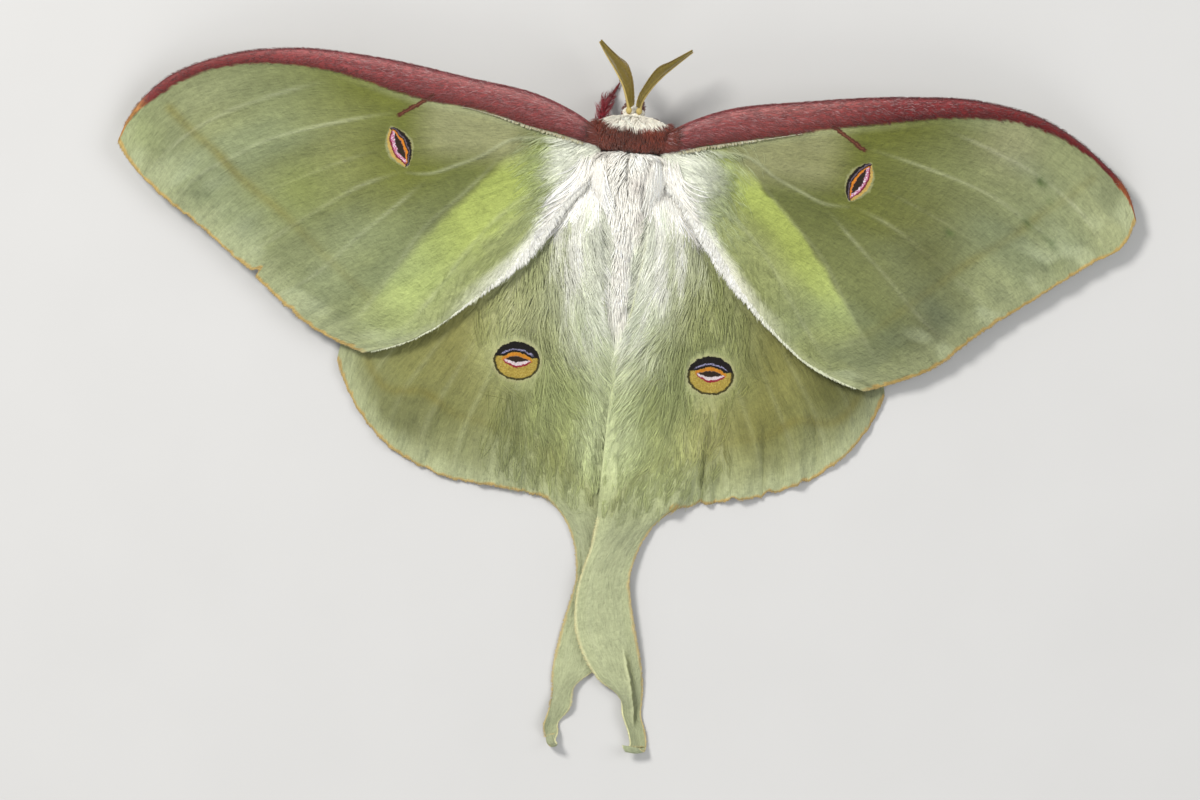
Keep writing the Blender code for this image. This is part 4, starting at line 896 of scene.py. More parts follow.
def build_hindwing(side):
    word = "right" if side > 0 else "left"
    s = np.r_[np.linspace(0, 0.05, 11), np.linspace(0.05, 0.8, 101)[1:], np.linspace(0.8, 1.0, 42)[1:]]
    k_tail = 11 + 100 - 1
    t = np.r_[np.linspace(0, 0.95, 118), np.linspace(0.95, 1.0, 14)[1:], 1 + np.linspace(0, 1, 112)[1:]]
    k_end = 118 + 13 - 1
    S, T = np.meshgrid(s, t, indexing="ij")
    TE = T - margin_shift(side, S, "hind") / 33.0 * smooth(T, 0.93, 1.0) * smooth(S, 0.8, 0.76) * (T <= 1)
    valid = (T <= 1) | (S >= TAIL_FROM - 1e-9)
    P = np.zeros(S.shape + (3,))
    P[valid] = hind_surface(side, S[valid], TE[valid])
    x, y = P[..., 0], P[..., 1]
    veins, pale, folds = hind_relief(side, x, y, S, T)
    hairy = smooth(S, 0.42, 0.62) * smooth(T, 0.05, 0.15) * smooth(T, 1.35, 0.95)
    combed = 0.16 * fractal((S - 0.16 * np.clip(T, 0, 1)) * 44, T * 3.6, 131 + side, 3) * hairy
    z = P[..., 2] + folds * smooth(P[..., 2], 6.0, 2.5) + combed + 0.22 * smooth(T, 0.8, 1.0) * smooth(T, 1.1, 1.0)
    d = z - 0.16
    P[..., 2] = 0.16 + 0.5 * (d + np.sqrt(d * d + 0.10 ** 2))
    streak = 0.025 * fractal(S * 130, T * 9, 91 + side, 3)
    up = MEMBRANE / 2 + veins + streak
    down = MEMBRANE / 2 + 0.4 * veins
    edge = np.minimum(up, MEMBRANE / 2)
    colour = hind_colour(side, x, y, S, T, pale)
    white = smooth(np.hypot(x * side - 1.0, (y + 11) * 0.55), 9.0, 3.0) * smooth(y, -27, -12)
    colour = mix(colour, rgb(166, 174, 126), 0.45 * smooth(x * side, 11, 4) * smooth(y, -44, -30) * (T < 1.1))
    colour = mix(colour, GREEN["white"], 0.40 * white)
    # lighter on the combed ridges and darker in their troughs: painted light and shade over that relief
    colour = np.clip(colour * (1 + 1.3 * np.clip(combed, -0.12, 0.12))[..., None], 0, 1)
    # a painted pool of light near the midline, against the shade the strands and the overlapping wing edge cast there
    colour = mix(colour, rgb(196, 205, 158), 0.7 * smooth(np.abs(x), 5.0, 1.5) * smooth(y, -19, -25) * smooth(y, -40, -33))
    # painted shade over the right hindwing's outer part
    right_wing_shade = 1 - 0.34 * smooth(x * side, 17.5, 23) * smooth(y, -34, -24) if side > 0 else np.ones_like(x)
    colour = colour * right_wing_shade[..., None]
    spot = np.stack([x * side - 10.05, y + 24.75, np.zeros_like(x)], -1)
    flow = np.stack([S * 30.0, T * 34.0, np.full_like(S, side * 3.0)], -1)
    # lay the tail out straight for its map
    plan = P[..., :2].copy()
    step = np.linalg.norm(np.diff(P, axis=1), axis=2)
    run = np.zeros_like(S)
    run[:, 1:] = np.cumsum(step, axis=1)
    plan[..., 1] = np.where(T > 1, plan[:, k_end:k_end + 1, 1] - (run - run[:, k_end:k_end + 1]), plan[..., 1])
    cells = np.zeros((len(s) - 1, len(t) - 1), bool)
    cells[:, :k_end] = True
    cells[k_tail:, k_end:] = True
    n = np.zeros_like(P)
    n[:, :k_end + 1] = normals(P[:, :k_end + 1])
    n[k_tail:, k_end + 1:] = normals(P[k_tail:, k_end:])[:, 1:]
    obj = shell(f"hindwing_{word}_skin", P, n, up, down, cells, plan,
                dict(Col=colour, Flow=flow, Spot=spot, Rose=np.zeros_like(S)), WING_HIND)
    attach(obj, "root")
    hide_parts(f"hindwing_{word}", f"tail_{word}")
    return dict(top=P + n * up[..., None], n=n, s=S, t=T, q=np.ones_like(S), colour=colour, cells=cells, lead=T * 0 + 9)


WING_FORE = wing_material("wing_fore", "fore")
WING_HIND = wing_material("wing_hind", "hind")
WINGS = {}
for side in (1, -1):
    WINGS["fore", side] = build_forewing(side)
    WINGS["hind", side] = build_hindwing(side)


# ------------------------------------------------------------------ body: one skin
HEAD = [(1.75, 4.9, 2.3, 2.0), (0.9, 5.0, 2.65, 2.25), (-0.3, 5.1, 2.7, 2.3), (-1.7, 5.1, 2.2, 1.9)]
COLLAR = [(1.15, 6.7, 3.5, 1.9), (0.5, 6.6, 4.2, 2.3), (-0.8, 6.3, 4.5, 2.9), (-2.2, 6.1, 4.5, 3.3)]
THORAX = [(-2.5, 5.75, 4.4, 3.8), (-4.6, 5.8, 4.55, 4.1), (-6.8, 5.5, 4.3, 3.9), (-8.8, 4.95, 3.7, 3.3)]
ABDOMEN = [(-9.1, 4.7, 3.6, 3.2), (-13.0, 4.15, 3.4, 3.05), (-17.0, 3.7, 2.8, 2.55), (-20.3, 3.4, 1.75, 1.7),
           (-22.4, 3.25, 0.8, 0.8)]
EYE_R, EYE_AT = 1.12, (2.2, 0.2, 4.85)
PALP = [(0.62, 1.0, 3.45, 0.55), (0.62, 1.9, 3.5, 0.48), (0.62, 2.75, 3.75, 0.34), (0.62, 3.15, 3.85, 0.2)]
LEGS = {
    "fore_left": ([(-1.5, -3.4, 3.6), (-2.1, -1.9, 2.1), (-3.0, -0.2, 2.2), (-3.2, 1.2, 2.7), (-2.95, 2.6, 1.9),
                   (-2.4, 3.5, 0.75), (-2.0, 4.2, 0.36), (-1.6, 5.0, 0.34)], (0.75, 0.62, 0.58, 0.5, 0.46, 0.36, 0.32, 0.27)),
    "fore_right": ([(1.5, -3.4, 3.6), (2.2, -1.9, 2.1), (3.7, -1.0, 2.6), (5.0, -0.6, 2.9), (6.1, 0.0, 1.8),
                    (6.7, 0.5, 0.75), (7.1, 0.9, 0.36), (7.8, 1.6, 0.34)], (0.75, 0.62, 0.58, 0.5, 0.46, 0.36, 0.32, 0.27)),
    "mid_left": ([(-1.6, -4.6, 3.4), (-2.6, -4.5, 1.7), (-4.3, -4.5, 2.3), (-6.1, -4.7, 3.1), (-7.5, -5.5, 1.9),
                  (-8.3, -6.1, 0.75), (-9.0, -6.6, 0.36), (-10.4, -7.5, 0.34)], (0.8, 0.66, 0.62, 0.52, 0.46, 0.36, 0.32, 0.27)),
    "hind_left": ([(-1.6, -6.3, 3.2), (-2.5, -6.9, 1.6), (-4.1, -7.9, 2.2), (-5.5, -9.1, 2.8), (-6.5, -10.9, 1.8),
                   (-7.0, -12.3, 0.75), (-7.4, -13.4, 0.36), (-7.9, -15.3, 0.34)], (0.8, 0.66, 0.62, 0.52, 0.46, 0.36, 0.32, 0.27)),
}
for pair in ("mid", "hind"):
    path, radii = LEGS[pair + "_left"]
    LEGS[pair + "_right"] = ([(-a, b, c) for a, b, c in path], radii)
BODY_AXIS = np.array([(y, z, w, h) for y, z, w, h in HEAD[:3] + COLLAR[3:] + THORAX[1:3] + ABDOMEN])
LEG_LINES = {}
rng = np.random.default_rng(7)


def tube(path, radii, around=14, squash=1.0):
    """Closed round tube through the points, with rounded ends; returns vertices and quads/tris."""
    path, radii = np.asarray(path, float), np.asarray(radii, float)
    d = unit(np.gradient(path, axis=0))
    up = np.tile((0.0, 0.0, 1.0), (len(path), 1))
    side = np.cross(d, up)
    side = np.where(np.linalg.norm(side, axis=1)[:, None] < 0.05, (1.0, 0, 0), side)
    side = unit(side)
    up = unit(np.cross(side, d))
    a = np.linspace(0, 2 * np.pi, around, endpoint=False)
    ring = (path[:, None] + radii[:, None, None] * (np.cos(a)[None, :, None] * side[:, None]
                                                    + squash * np.sin(a)[None, :, None] * up[:, None]))
    verts = np.concatenate([ring.reshape(-1, 3), [path[0] - d[0] * radii[0] * 0.5, path[-1] + d[-1] * radii[-1] * 0.6]])
    i, j = np.meshgrid(np.arange(len(path) - 1), np.arange(around), indexing="ij")
    k = (j + 1) % around
    quads = np.stack([i * around + j, i * around + k, (i + 1) * around + k, (i + 1) * around + j], -1).reshape(-1, 4)
    n = len(path) * around
    j = np.arange(around)
    k = (j + 1) % around
    last = (len(path) - 1) * around
    tris = np.concatenate([np.stack([k, j, np.full(around, n)], 1), np.stack([last + j, last + k, np.full(around, n + 1)], 1)])
    return verts, quads, tris


def barrel(stations, inset, front, back, rows=26, around=32):
    """A rounded body part along y, drawn in by inset (mm)."""
    st = np.array(stations, float)
    k = np.linspace(0.004, 0.996, rows)
    y = st[0, 0] + (st[-1, 0] - st[0, 0]) * k
    along = (y - st[0, 0]) / (st[-1, 0] - st[0, 0])
    t = (st[:, 0] - st[0, 0]) / (st[-1, 0] - st[0, 0])
    z, w, h = (np.interp(along, t, st[:, i]) for i in (1, 2, 3))
    power = np.where(k < 0.5, front, back)
    f = np.sin(k * np.pi) ** power
    a = np.linspace(0, 2 * np.pi, around, endpoint=False)
    w, h = np.maximum(w * f - inset, 0.15 * f), np.maximum(h * f - inset, 0.15 * f)
    ring = np.stack([w[:, None] * np.cos(a), np.tile(y[:, None], (1, around)), z[:, None] + h[:, None] * np.sin(a)], -1)
    verts = np.concatenate([ring.reshape(-1, 3), [(0, y[0], z[0]), (0, y[-1], z[-1])]])
    i, j = np.meshgrid(np.arange(rows - 1), np.arange(around), indexing="ij")
    m = (j + 1) % around
    quads = np.stack([i * around + j, (i + 1) * around + j, (i + 1) * around + m, i * around + m], -1).reshape(-1, 4)
    n = rows * around
    j = np.arange(around)
    m = (j + 1) % around
    last = (rows - 1) * around
    tris = np.concatenate([np.stack([j, m, np.full(around, n)], 1), np.stack([last + m, last + j, np.full(around, n + 1)], 1)])
    return verts, quads, tris


def ball(at, size, around=20, rows=12):
    a = np.linspace(0, 2 * np.pi, around, endpoint=False)
    b = np.linspace(-np.pi / 2, np.pi / 2, rows + 2)[1:-1]
    at, size = np.asarray(at, float), np.asarray(size, float) * np.ones(3)
    ring = np.stack([np.cos(b)[:, None] * np.cos(a), np.cos(b)[:, None] * np.sin(a), np.tile(np.sin(b)[:, None], (1, around))], -1)
    verts = at + size * np.concatenate([ring.reshape(-1, 3), [(0, 0, -1), (0, 0, 1)]])
    i, j = np.meshgrid(np.arange(rows - 1), np.arange(around), indexing="ij")
    m = (j + 1) % around
    quads = np.stack([i * around + j, i * around + m, (i + 1) * around + m, (i + 1) * around + j], -1).reshape(-1, 4)
    n = rows * around
    j = np.arange(around)
    m = (j + 1) % around
    last = (rows - 1) * around
    tris = np.concatenate([np.stack([m, j, np.full(around, n)], 1), np.stack([last + j, last + m, np.full(around, n + 1)], 1)])
    return verts, quads, tris


def join(parts):
    verts, quads, tris, n = [], [], [], 0
    for v, q, t in parts:
        verts.append(v)
        quads.append(np.asarray(q).reshape(-1, 4) + n)
        tris.append(np.asarray(t).reshape(-1, 3) + n)
        n += len(v)
    return np.concatenate(verts), np.concatenate(quads), np.concatenate(tris)


def leg_line(word, n=60):
    path, radii = LEGS[word]
    t = np.linspace(0, 1, n)
    p = spline(path, t)
    d = np.r_[0.0, np.cumsum(np.linalg.norm(np.diff(np.array(path), axis=0), axis=1))]
    return p, np.interp(t, d / d[-1], radii), t


def body_parts():
    parts = [barrel(HEAD, 0.5, 0.6, 0.6), barrel(COLLAR, 0.28, 0.26, 0.08), barrel(THORAX, 0.75, 0.08, 0.22),
             barrel([(-1.2, 5.9, 3.4, 2.6), (-5.0, 5.7, 3.9, 3.2), (-10.2, 4.8, 3.2, 2.7)], 0.6, 0.2, 0.2),
             barrel(ABDOMEN, 0.6, 0.12, 0.5, 60),
             barrel([(-5.0, 5.75, 4.0, 3.6), (-8.0, 5.2, 3.7, 3.35), (-11.0, 4.6, 3.3, 3.0), (-14.5, 4.15, 2.9, 2.65)], 0.42, 0.2, 0.34)]
    # the rings of the abdomen stand out a little
    v, q, t = parts[4]
    ring = 0.5 + 0.5 * np.cos((v[:, 1] + 9.5) / 1.75 * 2 * np.pi)
    v[:, 0] *= 1 + 0.03 * ring
    v[:, 2] = 4.0 + (v[:, 2] - 4.0) * (1 + 0.025 * ring)
    # brow between the feelers, and a small closed mouth
    parts.append(ball((0, 0.95, 5.8), (1.5, 0.7, 0.6)))
    parts.append(ball((0, 1.6, 4.3), (0.9, 0.65, 0.8)))
    for sign in (-1, 1):
        path = np.array([(sign * p[0], p[1], p[2]) for p in PALP])
        t = np.linspace(0, 1, 14)
        parts.append(tube(spline(path, t), np.interp(t, np.linspace(0, 1, 4), [p[3] for p in PALP]) * 0.74))
        parts.append(ball((sign * EYE_AT[0] * 0.9, EYE_AT[1], EYE_AT[2]), (0.75, 1.15, 1.15)))
        parts.append(ball((sign * 2.2, -0.2, 6.1), (1.0, 1.0, 0.8)))
        parts.append(ball((sign * 3.65, -0.75, 6.1), (0.7, 1.35, 1.5)))
    for word in LEGS:
        p, r, t = leg_line(word)
        LEG_LINES[word] = (p, r, t)
        # joints of the foot, and knees
        beads = 1 + 0.16 * np.cos((t - 0.72) / 0.056 * 2 * np.pi) * smooth(t, 0.7, 0.76)
        knee = 1 + 0.22 * np.exp(-((t - 0.22) / 0.03) ** 2) + 0.18 * np.exp(-((t - 0.48) / 0.03) ** 2) + 0.15 * np.exp(-((t - 0.70) / 0.02) ** 2)
        parts.append(tube(p, np.maximum(r - 0.13, 0.13) * beads * knee))
        # spurs at the end of the shin
        at = p[int(0.68 * len(p))]
        d = unit(p[int(0.72 * len(p))] - at)
        for turn in (-1, 1):
            out = unit(np.cross(d, (0, 0, 1))) * 0.5 * turn
            tip = at + d * 0.75 + out * 0.8 + np.array((0, 0, -0.12))
            line = np.linspace(at, tip, 8)
            line[:, 2] = np.maximum(line[:, 2], 0.2)
            parts.append(tube(line, np.linspace(0.14, 0.05, 8), 8))
    return parts


def body_where(p):
    """For points on the skin: 0 for the trunk or 1.. for a leg, distance along and angle around, each 0..1."""
    word = np.zeros(len(p), int)
    axis_z = np.interp(-p[:, 1], -BODY_AXIS[:, 0], BODY_AXIS[:, 1])
    half = np.interp(-p[:, 1], -BODY_AXIS[:, 0], BODY_AXIS[:, 2])
    tall = np.interp(-p[:, 1], -BODY_AXIS[:, 0], BODY_AXIS[:, 3])
    trunk = np.hypot(p[:, 0] / half, (p[:, 2] - axis_z) / tall)
    angle = np.arctan2(p[:, 0], p[:, 2] - axis_z) / (2 * np.pi) + 0.5
    along = np.clip((3.4 - p[:, 1]) / 26.2, 0, 1)
    best = np.full(len(p), 1e9)
    for k, name in enumerate(LEG_LINES):
        q, r, t = LEG_LINES[name]
        for i in range(0, len(q) - 1):
            d = q[i + 1] - q[i]
            w = np.clip(((p - q[i]) @ d) / (d @ d), 0, 1)
            off = p - q[i] - w[:, None] * d
            dist = np.linalg.norm(off, axis=1) - r[i]
            near = (dist < best) & (dist < 0.25) & (trunk > 0.9 - 0.12)
            if near.any():
                side = unit(np.cross(d, (0.0, 0.0, 1.0)))
                up = unit(np.cross(side, d))
                ang = np.arctan2(off @ side, off @ up) / (2 * np.pi) + 0.5
                word[near] = k + 1
                along[near] = ((i + w) / (len(q) - 1))[near]
                angle[near] = ang[near]
                best[near] = dist[near]
    return word, along, angle


def island(word, along, angle):
    u = np.where(word == 0, 0.02 + 0.60 * angle, 0.70 + (word - 1) * 0.049 + 0.036 * angle)
    return np.stack([u, 0.02 + 0.95 * along], -1)


CREAM, WHITE, GREY = rgb(252, 246, 230), rgb(254, 251, 241), rgb(214, 205, 186)
MAROON, MAROON_DARK, MAROON_PINK = rgb(127, 53, 31), rgb(94, 41, 22), rgb(168, 86, 78)
LEG_RED, LEG_TIP = rgb(148, 28, 44), rgb(96, 30, 30)
PALE_GREEN = rgb(212, 226, 192)


def front_line(x):
    """Where the white of the head meets the collar."""
    return np.where(x < 0, 1.15 - 1.15 * np.exp(-(x / 2.9) ** 4), 0.75 - 0.75 * np.exp(-(x / 2.9) ** 4))


def rear_line(x):
    """Where the collar ends and the white of the thorax begins."""
    return -2.60 + 0.24 * noise(x * 1.15, 0.5, 6) - 0.045 * x


GROOVES = [([(-0.1, -2.7), (-0.2, -4.5), (0.0, -6.6)], 0.14, 1.0),
           ([(-2.7, -3.1), (-3.0, -5.1), (-3.2, -6.9), (-2.85, -9.5), (-2.1, -11.6)], 0.26, 0.85),
           ([(2.3, -3.4), (1.75, -5.2), (1.55, -6.9), (2.0, -9.0), (2.5, -10.8)], 0.24, 0.7)]


def groove(x, y):
    """Where the lobes of hair on the thorax part, from 0 to 1."""
    deep = np.zeros(np.shape(x))
    for line, half, much in GROOVES:
        d, w = to_line(x, y, line, 16)
        deep = np.maximum(deep, much * np.exp(-(d / half) ** 2) * smooth(w, 1.0, 0.7))
    return deep


def body_colour(p, word, along):
    """The coat's and the skin's colour at points in mm."""
    x, y, z = p.T
    c = np.tile(WHITE, (len(p), 1))
    # grey patches over the white of the thorax and the front of the abdomen: painted shade between the locks
    c = mix(c, GREY, 0.16 * smooth(fractal(x * 0.9 + 3, y * 0.55, 301, 3), 0.05, 0.6) * smooth(y, -14, -6))
    ridge = 1.10 - 0.072 * np.clip(-9 - y, 0, 12)
    flank = smooth(np.abs(x) + 0.12 * noise(x * 2, y * 1.2, 302), ridge * 0.75, ridge * 1.6 + 0.2) * smooth(y + 0.25 * np.abs(x), -9.8, -13.5)
    # grey-mauve painted shade where the hair of the thorax parts into lobes
    for a, d, wide, deep in ((-3.0, -3.9, 0.8, 1.6), (1.9, -9.8, 0.8, 1.8), (-2.9, -7.6, 0.5, 1.6), (0.9, -6.0, 0.7, 1.0)):
        c = mix(c, rgb(206, 197, 187), 0.55 * np.exp(-(((x - a) / wide) ** 2 + ((y - d) / deep) ** 2)) * smooth(z, 4.5, 6))
    c = mix(c, PALE_GREEN, flank * (0.46 + 0.36 * noise(x * 1.9, y * 0.3, 303)))
    # collar
    top = smooth(z, 5.0, 5.9) + smooth(np.abs(x), 2.7, 3.6) * smooth(z, 3.6, 4.6)
    line = 0.16 * noise(x * 1.7, 0.5, 5)
    front = front_line(x) + line
    rear = rear_line(x)
    collar = smooth(y, rear - 0.15, rear + 0.12) * smooth(y, front + 0.2, front - 0.1) * np.clip(top, 0, 1)
    shade = mix(MAROON, MAROON_DARK, smooth(fractal(x * 0.8, y * 1.1 + 7, 77, 3), -0.1, 0.5))
    shade = mix(shade, MAROON_PINK, 0.45 * smooth(np.abs(x), 2.6, 4.4))
    c = mix(c, CREAM, smooth(y, -1.2, 0.2))
    c = mix(c, shade, collar)
    # the face under the brow, and the palps, are dark red
    face = smooth(z, 4.5, 3.9) * smooth(y, -0.4, 0.5)
    c = mix(c, rgb(116, 58, 46), 0.94 * face)
    leg = (word > 0).astype(float) * smooth(along, 0.05, 0.22)
    red = mix(LEG_RED, LEG_TIP, smooth(along, 0.5, 0.95))
    return np.clip(mix(c, red, leg), 0, 1)


def build_skin():
    v, q, t = join(body_parts())
    raw = new_mesh("raw_skin", v, quads=q, tris=t)
    mod = raw.modifiers.new("one_skin", "REMESH")
    mod.mode = "VOXEL"
    mod.voxel_size = 0.135 * MM
    mod.adaptivity = 0.0
    mod = raw.modifiers.new("ease", "SMOOTH")
    mod.factor = 0.5
    mod.iterations = 6
    bpy.context.view_layer.update()
    done = raw.evaluated_get(bpy.context.evaluated_depsgraph_get()).to_mesh()
    n = len(done.vertices)
    co = np.empty(n * 3, np.float32)
    done.vertices.foreach_get("co", co)
    p = (co.reshape(-1, 3).astype(float) - SHIFT) / MM
    loops = np.empty(len(done.loops), np.int32)
    done.loops.foreach_get("vertex_index", loops)
    total = np.empty(len(done.polygons), np.int32)
    done.polygons.foreach_get("loop_total", total)
    start = np.empty(len(done.polygons), np.int32)
    done.polygons.foreach_get("loop_start", start)
    quads = np.stack([loops[start[total == 4] + k] for k in range(4)], 1)
    tris = np.stack([loops[start[total == 3] + k] for k in range(3)], 1) if (total == 3).any() else np.zeros((0, 3), int)
    raw.to_mesh_clear()
    old = raw.data
    bpy.data.objects.remove(raw)
    bpy.data.meshes.remove(old)
    word, along, angle = body_where(p)
    colour = body_colour(p, word, along)
    mat, tree, shader = material("skin", rough=0.8, specular=0.2, sheen=0.2)
    base = attribute(tree, "Col")
    coord = tree.nodes.new("ShaderNodeTexCoord").outputs["Object"]
    hairy = Ex(tree, texture(tree, "ShaderNodeTexNoise", coord, 6000.0, 3, 0.6, (1.0, 0.22, 1.0)).outputs["Fac"])
    soft = Ex(tree, texture(tree, "ShaderNodeTexNoise", coord, 900.0, 3, 0.6).outputs["Fac"])
    node = tree.nodes.new("ShaderNodeHueSaturation")
    tree.links.new((hairy.step(0.25, 0.75) * 0.12 + soft.step(0.3, 0.7) * 0.08 + 0.86).socket, node.inputs["Value"])
    tree.links.new(base, node.inputs["Color"])
    tree.links.new(node.outputs["Color"], shader.inputs["Base Color"])
    bump(tree, shader, hairy * 0.7 + soft * 0.5, 0.00025, 0.9)
    obj = new_mesh("body_skin", p, quads=quads, tris=tris, attributes=dict(Col=colour), mat=mat)
    faces = np.concatenate([quads, np.c_[tris, tris[:, :1]]]) if len(tris) else quads
    fw = word[faces]
    face_word = np.where((fw == fw[:, :1]).all(1), fw[:, 0], fw.max(1))
    # one island for each face, with the wrap round the belly closed up
    ang = angle[faces]
    ang = np.where((ang.max(1) - ang.min(1) > 0.5)[:, None] & (ang < 0.5), ang + 1, ang)
    uv = island(face_word[:, None], along[faces], np.clip(ang, 0, 1.06))
    flat = np.concatenate([uv[:len(quads)].reshape(-1, 2), uv[len(quads):, :3].reshape(-1, 2)])
    layer = obj.data.uv_layers.new(name="OFBake")
    layer.uv.foreach_set("vector", flat.astype(np.float32).ravel())
    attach(obj, "root")
    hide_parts("head", "collar", "thorax", "abdomen", "palp_left", "palp_right",
                *[f"leg_{w}" for w in LEGS])
    tri = np.concatenate([quads[:, [0, 1, 2]], quads[:, [0, 2, 3]], tris])
    return p, tri, word, along, angle


skin = build_skin()


# ------------------------------------------------------------------ eyes, claws, feelers
def bumpy_material(name, colour, dark, rough, specular, scale, depth, sheen=0.0, coat=0.0):
    mat, tree, shader = material(name, rough=rough, specular=specular, sheen=sheen)
    shader.inputs["Coat Weight"].default_value = coat
    shader.inputs["Coat Roughness"].default_value = 0.12
    coord = tree.nodes.new("ShaderNodeTexCoord").outputs["Object"]
    cell = Ex(tree, texture(tree, "ShaderNodeTexVoronoi", coord, scale).outputs["Distance"])
    wide = Ex(tree, texture(tree, "ShaderNodeTexNoise", coord, scale * 0.08, 3, 0.6).outputs["Fac"])
    tree.links.new(blend_colour(tree, dark, colour, cell.step(0.1, 0.6) * 0.5 + wide.step(0.3, 0.7) * 0.5), shader.inputs["Base Color"])
    bump(tree, shader, (1.0 - cell) * 0.8 + wide * 0.3, depth, 0.8)
    return mat


EYE_MAT = bumpy_material("eye", tuple(rgb(66, 40, 30)), tuple(rgb(22, 14, 12)), 0.22, 0.5, 16000.0, 0.00003, coat=0.6)
CLAW_MAT = bumpy_material("claw", tuple(rgb(86, 44, 30)), tuple(rgb(40, 20, 16)), 0.35, 0.5, 9000.0, 0.00002)
for sign, word in ((-1, "left"), (1, "right")):
    v, q, t = ball((sign * EYE_AT[0], EYE_AT[1], EYE_AT[2]), (EYE_R * 0.92, EYE_R, EYE_R), 56, 40)
    obj = new_mesh(f"eye_{word}_globe", v, quads=q, tris=t, mat=EYE_MAT)
    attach(obj, "root")
    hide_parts(f"eye_{word}")
claws = []
for word in LEGS:
    p, r, t = LEG_LINES[word]
    d = unit(p[-1] - p[-4])
    for turn in (-1, 1):
        out = unit(np.cross(d, (0, 0, 1))) * turn
        k = np.linspace(0, 1, 9)[:, None]
        line = p[-1] + d * (0.05 + 0.42 * k) + out * (0.05 + 0.2 * np.sin(k * 2.2)) + np.array((0, 0, 1)) * (0.05 * np.sin(k * 3.1) - 0.26 * k**2)
        line[:, 2] = np.maximum(line[:, 2], 0.06)
        claws.append(tube(line, np.linspace(0.075, 0.02, 9), 10))
v, q, t = join(claws)
obj = new_mesh("claws", v, quads=q, tris=t, mat=CLAW_MAT)
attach(obj, "root")

ANTENNA = {
    -1: [(-0.5, 1.95, 6.3), (-0.75, 2.9, 6.5), (-1.3, 4.4, 6.75), (-2.2, 5.9, 6.85), (-3.25, 7.4, 6.75), (-4.05, 8.65, 6.5)],
    1: [(0.6, 1.95, 6.3), (0.85, 2.9, 6.5), (1.6, 4.2, 6.75), (2.65, 5.5, 6.85), (4.0, 6.8, 6.75), (5.65, 8.3, 6.5)],
}
COMB = [0.75, 1.05, 1.62, 1.70, 1.2, 0.3]


def build_antenna(side):
    path = spline(ANTENNA[side], np.linspace(0, 1, 80))
    d = unit(np.gradient(path, axis=0))
    inward = unit(np.cross(np.tile((0, 0, 1.0), (len(d), 1)), d)) * 1.0
    inward = np.where((inward[:, :1] * side) > 0, -inward, inward)
    half = spline(np.c_[np.array(COMB), np.zeros((6, 2))], np.linspace(0, 1, 80))[:, 0]
    parts = [tube(path, np.interp(np.linspace(0, 1, 80), [0, 0.06, 0.5, 1], [0.22, 0.15, 0.11, 0.06]), 10)]
    parts.append(ball(path[0] - d[0] * 0.1, (0.32, 0.4, 0.32), 14, 8))
    paths, wide, ups = [], [], []
    m = 140
    for i in range(m):
        f = 0.02 + 0.98 * (i + 0.5) / m
        k = f * 79
        a = int(k)
        at = path[a] * (1 - k + a) + path[min(a + 1, 79)] * (k - a)
        h = max(0.12, np.interp(f, np.linspace(0, 1, 80), half)) * (1.0 - 0.1 * (i % 2))
        for upward in (1, -1):
            lean = unit(inward[a] * (0.95 if upward > 0 else 0.75) * (1.0 if side < 0 else 0.55) + np.array((0, 0, 1.0)) * upward)
            n = 7
            w = np.linspace(0, 1, n)[:, None]
            bow = np.sin(w * np.pi * 0.5)
            reach = h * (1.08 + 0.05 * math.sin(i * 2.1))
            line = at + lean * reach * bow + d[a] * reach * 0.55 * w**1.6 + inward[a] * 0.12 * np.sin(w * np.pi)
            paths.append(line)
            wide.append(np.array((0.078, 0.080, 0.076, 0.066, 0.054, 0.038, 0.0)) + 0.004)
            ups.append(d[a])
    paths, wide = np.array(paths), np.array(wide)
    return parts, paths, wide, np.array(ups)


# ------------------------------------------------------------------ coat: strands as closed spikes
def strand_arrays(paths, half, ups):
    """Spikes along paths (m, k, 3) with half widths (m, k); three-sided, closed, ending in a point."""
    m, k = paths.shape[:2]
    d = unit(np.gradient(paths, axis=1))
    ups = ups[:, None] if ups.ndim == 2 else ups
    side = unit(np.cross(d, ups))
    up = unit(np.cross(side, d))
    w = half[..., None]
    body = np.stack([paths - side * w - up * w * 0.06, paths + side * w - up * w * 0.06, paths + up * w * 0.30], 2)[:, :-1]
    verts = np.concatenate([body.reshape(m, -1, 3), paths[:, -1:]], 1)
    per = verts.shape[1]
    quads, tris = [], []
    for j in range(k - 2):
        for a in range(3):
            b = (a + 1) % 3
            quads.append((3 * j + a, 3 * j + b, 3 * j + 3 + b, 3 * j + 3 + a))
    last = 3 * (k - 2)
    for a in range(3):
        tris.append((last + a, last + (a + 1) % 3, per - 1))
    tris.append((2, 1, 0))
    base = (np.arange(m) * per)[:, None, None]
    quads = (np.array(quads).reshape(-1, 4)[None] + base).reshape(-1, 4)
    tris = (np.array(tris)[None] + base).reshape(-1, 3)
    return verts, quads, tris


def fur_material(name, rough=0.72, sheen=0.25, specular=0.22):
    mat, tree, shader = material(name, rough=rough, specular=specular, sheen=sheen)
    base = attribute(tree, "Col")
    coord = tree.nodes.new("ShaderNodeTexCoord").outputs["Object"]
    fine = Ex(tree, texture(tree, "ShaderNodeTexNoise", coord, 5200.0, 2, 0.6).outputs["Fac"])
    node = tree.nodes.new("ShaderNodeHueSaturation")
    tree.links.new((fine.step(0.2, 0.8) * 0.14 + 0.92).socket, node.inputs["Value"])
    tree.links.new(base, node.inputs["Color"])
    tree.links.new(node.outputs["Color"], shader.inputs["Base Color"])
    bump(tree, shader, fine, 0.00003, 0.5)
    return mat


FUR = {"white": fur_material("fur_white"), "maroon": fur_material("fur_maroon", 0.62, 0.2), "tan": fur_material("feeler_tan", 0.6, 0.1),
       "green": fur_material("fur_green", 0.8, 0.08, 0.12)}


